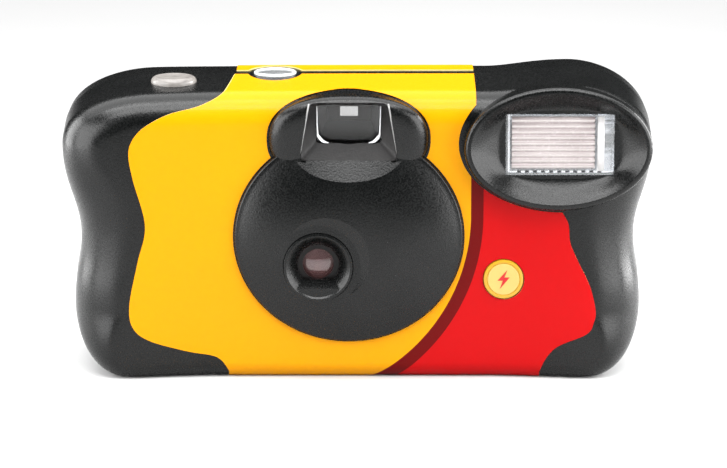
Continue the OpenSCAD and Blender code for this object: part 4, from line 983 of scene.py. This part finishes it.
def lens_bezel():
    """Conical ring round the lens, with a flat ledge across its lower part."""
    low, high = corners("lens_bezel")
    front, back, r = low[1], high[1], BEZEL_RADIUS
    inner = r * 0.6
    profile = [(r, back), (r, front + 0.2), (r - 0.06, front + 0.06), (r - 0.2, front), (r - 0.5, front),
               (r - 0.62, front + 0.06), (inner + 0.1, front + 2.5), (inner, front + 2.7), (inner, back)]
    ring = turned("lens_ring", profile, LENS_AXIS, "y", closed=True)
    ledge = loft("lens_ledge", np.stack([chord(r - 0.55, 4.3, front + 0.35), chord(r - 0.4, 2.9, front + 2.5),
                                         chord(r - 0.4, 2.9, back - 0.02)]))
    combine(ring, "UNION", ledge)
    return finish_piece(crease(ring, 24), "camera", "lens_bezel", BLACK)


def taking_lens():
    """Front lens element, a dome whose depth grows with the square of the radius."""
    low, high = corners("taking_lens")
    radius, curve = half_size("taking_lens")[0], 8.0
    dome = [(r, low[1] + r * r / (2 * curve)) for r in np.linspace(0.02, radius, 16)]
    glass = turned("taking_lens_dome", dome + [(radius, high[1]), (0.02, high[1])], LENS_AXIS, "y")
    return finish_piece(crease(glass), "camera", "taking_lens", LENS_GLASS)


RIB_RISE = 0.4
DASHES, DASH_STEP, DASH_W = 11, 1.6, 0.8


def flash_window():
    """Clear slab with level ribs over most of its width, and below them a row of small dark blocks that paint
    the shade of small slots.

    The front of the ribs follows the size of a sine of the height, one arch to a rib.
    """
    low, high = corners("flash_window")
    front = DISH_Y + 0.1
    slab_low = np.array([FLASH[0] - WINDOW_HALF[0], front, FLASH[2] - WINDOW_HALF[2]])
    slab_high = np.array([FLASH[0] + WINDOW_HALF[0], front + 0.9, FLASH[2] + WINDOW_HALF[2]])
    slab = block("flash_slab", slab_low, slab_high)
    flange = block("flash_flange", [low[0], min(front + 0.85, high[1] - 0.6), low[2]], high)
    combine(slab, "UNION", flange)
    finish_piece(crease(slab), "camera", "flash_window", CLEAR)
    strip = block("flash_strip", [RIB_RIGHT + 0.5, front - 0.1, slab_low[2] + 0.8],
                  [RIB_RIGHT + 1.9, front + 0.3, RIB_HIGH])
    finish_piece(strip, "camera", None, STRIP_WHITE)
    z = np.linspace(RIB_LOW, RIB_HIGH, RIBS * 12 + 1)
    wave = front - 0.06 - RIB_RISE * np.abs(np.sin(np.pi * (z - RIB_LOW) / RIB_STEP))
    section = np.concatenate([np.stack([wave, z], -1), [[front - 0.02, RIB_HIGH], [front - 0.02, RIB_LOW]]])
    rings = [np.concatenate([np.full((len(section), 1), x), section], 1) for x in (RIB_LEFT, RIB_RIGHT)]
    ribs = loft("flash_ribs", np.stack(rings))
    finish_piece(crease(ribs, 50), "camera", None, DIFFUSER)
    # Dark blocks: painted shade of a row of small slots
    for k in range(DASHES):
        x = RIB_LEFT + 1.1 + k * DASH_STEP
        dash = block(f"flash_slot_shade_{k}", [x, front - 0.04, slab_low[2] + 0.5],
                     [x + DASH_W, front + 0.2, slab_low[2] + 0.9])
        finish_piece(dash, "camera", None, SLEEVE)


front_cover()
rear_cover()
front_label()
rear_label()
shutter_button()
button_coil()
counter_window()
charge_button()
finder_glass()
finder_edges()
lens_bezel()
taking_lens()
flash_window()
for name, material in NODE_FINISH.items():
    coat(nodes[name], material)


# Stage

def soft_light(name, place, target, size, power):
    """White rectangular lamp that faces its target."""
    lamp = bpy.data.lights.new(name, "AREA")
    lamp.shape = "RECTANGLE"
    lamp.size, lamp.size_y = size
    lamp.energy = power
    obj = bpy.data.objects.new(name, lamp)
    obj.location = place
    aim = np.array(target) - np.array(place)
    obj.rotation_euler = Vector(aim).to_track_quat("-Z", "Y").to_euler()
    bpy.context.scene.collection.objects.link(obj)


def studio():
    """Pale floor, soft lamps above and at both sides, and a very dark surrounding."""
    half = 3.0
    floor_points = np.array([[-half, -half, 0], [half, -half, 0], [half, half, 0], [-half, half, 0]]) / MM
    floor = mesh_object("floor", floor_points, np.array([[0, 1, 2, 3]]))
    coat(floor, plain_finish("pale_floor", rgb(172, 172, 172), rgb(176, 176, 176), 300, (0.7, 0.8)))
    soft_light("overhead", (0, 0.55, 1.15), (0, 0.55, 0), (2.4, 1.4), 36)
    soft_light("top", (0, -0.155, 0.85), (0, 0, 0.05), (1.0, 0.24), 8.0)
    soft_light("brow", (0, -0.45, 0.77), (0, 0, 0.05), (0.8, 0.28), 7.4)
    soft_light("left_panel", (-0.22, -0.13, 0.1), (0, -0.02, 0.04), (0.2, 0.2), 0.95)
    soft_light("right_panel", (0.22, -0.13, 0.1), (0, -0.02, 0.04), (0.2, 0.2), 1.05)
    soft_light("left_rear_panel", (-0.26, 0.06, 0.1), (0, 0, 0.04), (0.14, 0.2), 0.8)
    soft_light("right_rear_panel", (0.26, 0.06, 0.1), (0, 0, 0.04), (0.14, 0.2), 1.5)
    world = bpy.data.worlds.new("studio")
    world.use_nodes = True
    background = world.node_tree.nodes["Background"]
    background.inputs["Color"].default_value = (1, 1, 1, 1)
    background.inputs["Strength"].default_value = 0.02
    bpy.context.scene.world = world


# Camera, with the photo's width in pixels
IMAGE_W = 727
ELEVATION, DISTANCE = math.radians(12.2), 0.75
PIXELS_PER_M = 4910
SENSOR = 36.0


def photo_camera():
    """Camera in front, raised by the elevation, with the photo's pixels per metre at its target."""
    target = np.array([0.00125, 0.0, 0.0266])
    cam = bpy.data.cameras.new("photo_camera")
    cam.sensor_width = SENSOR
    cam.lens = PIXELS_PER_M * SENSOR * DISTANCE / IMAGE_W
    cam.clip_start, cam.clip_end = 0.01, 20
    obj = bpy.data.objects.new("photo_camera", cam)
    back = np.array([0, -math.cos(ELEVATION), math.sin(ELEVATION)])
    obj.location = target + back * DISTANCE
    obj.rotation_euler = (math.pi / 2 - ELEVATION, 0, 0)
    bpy.context.scene.collection.objects.link(obj)
    bpy.context.scene.camera = obj


studio()
photo_camera()
bpy.context.scene.view_settings.view_transform = "Standard"
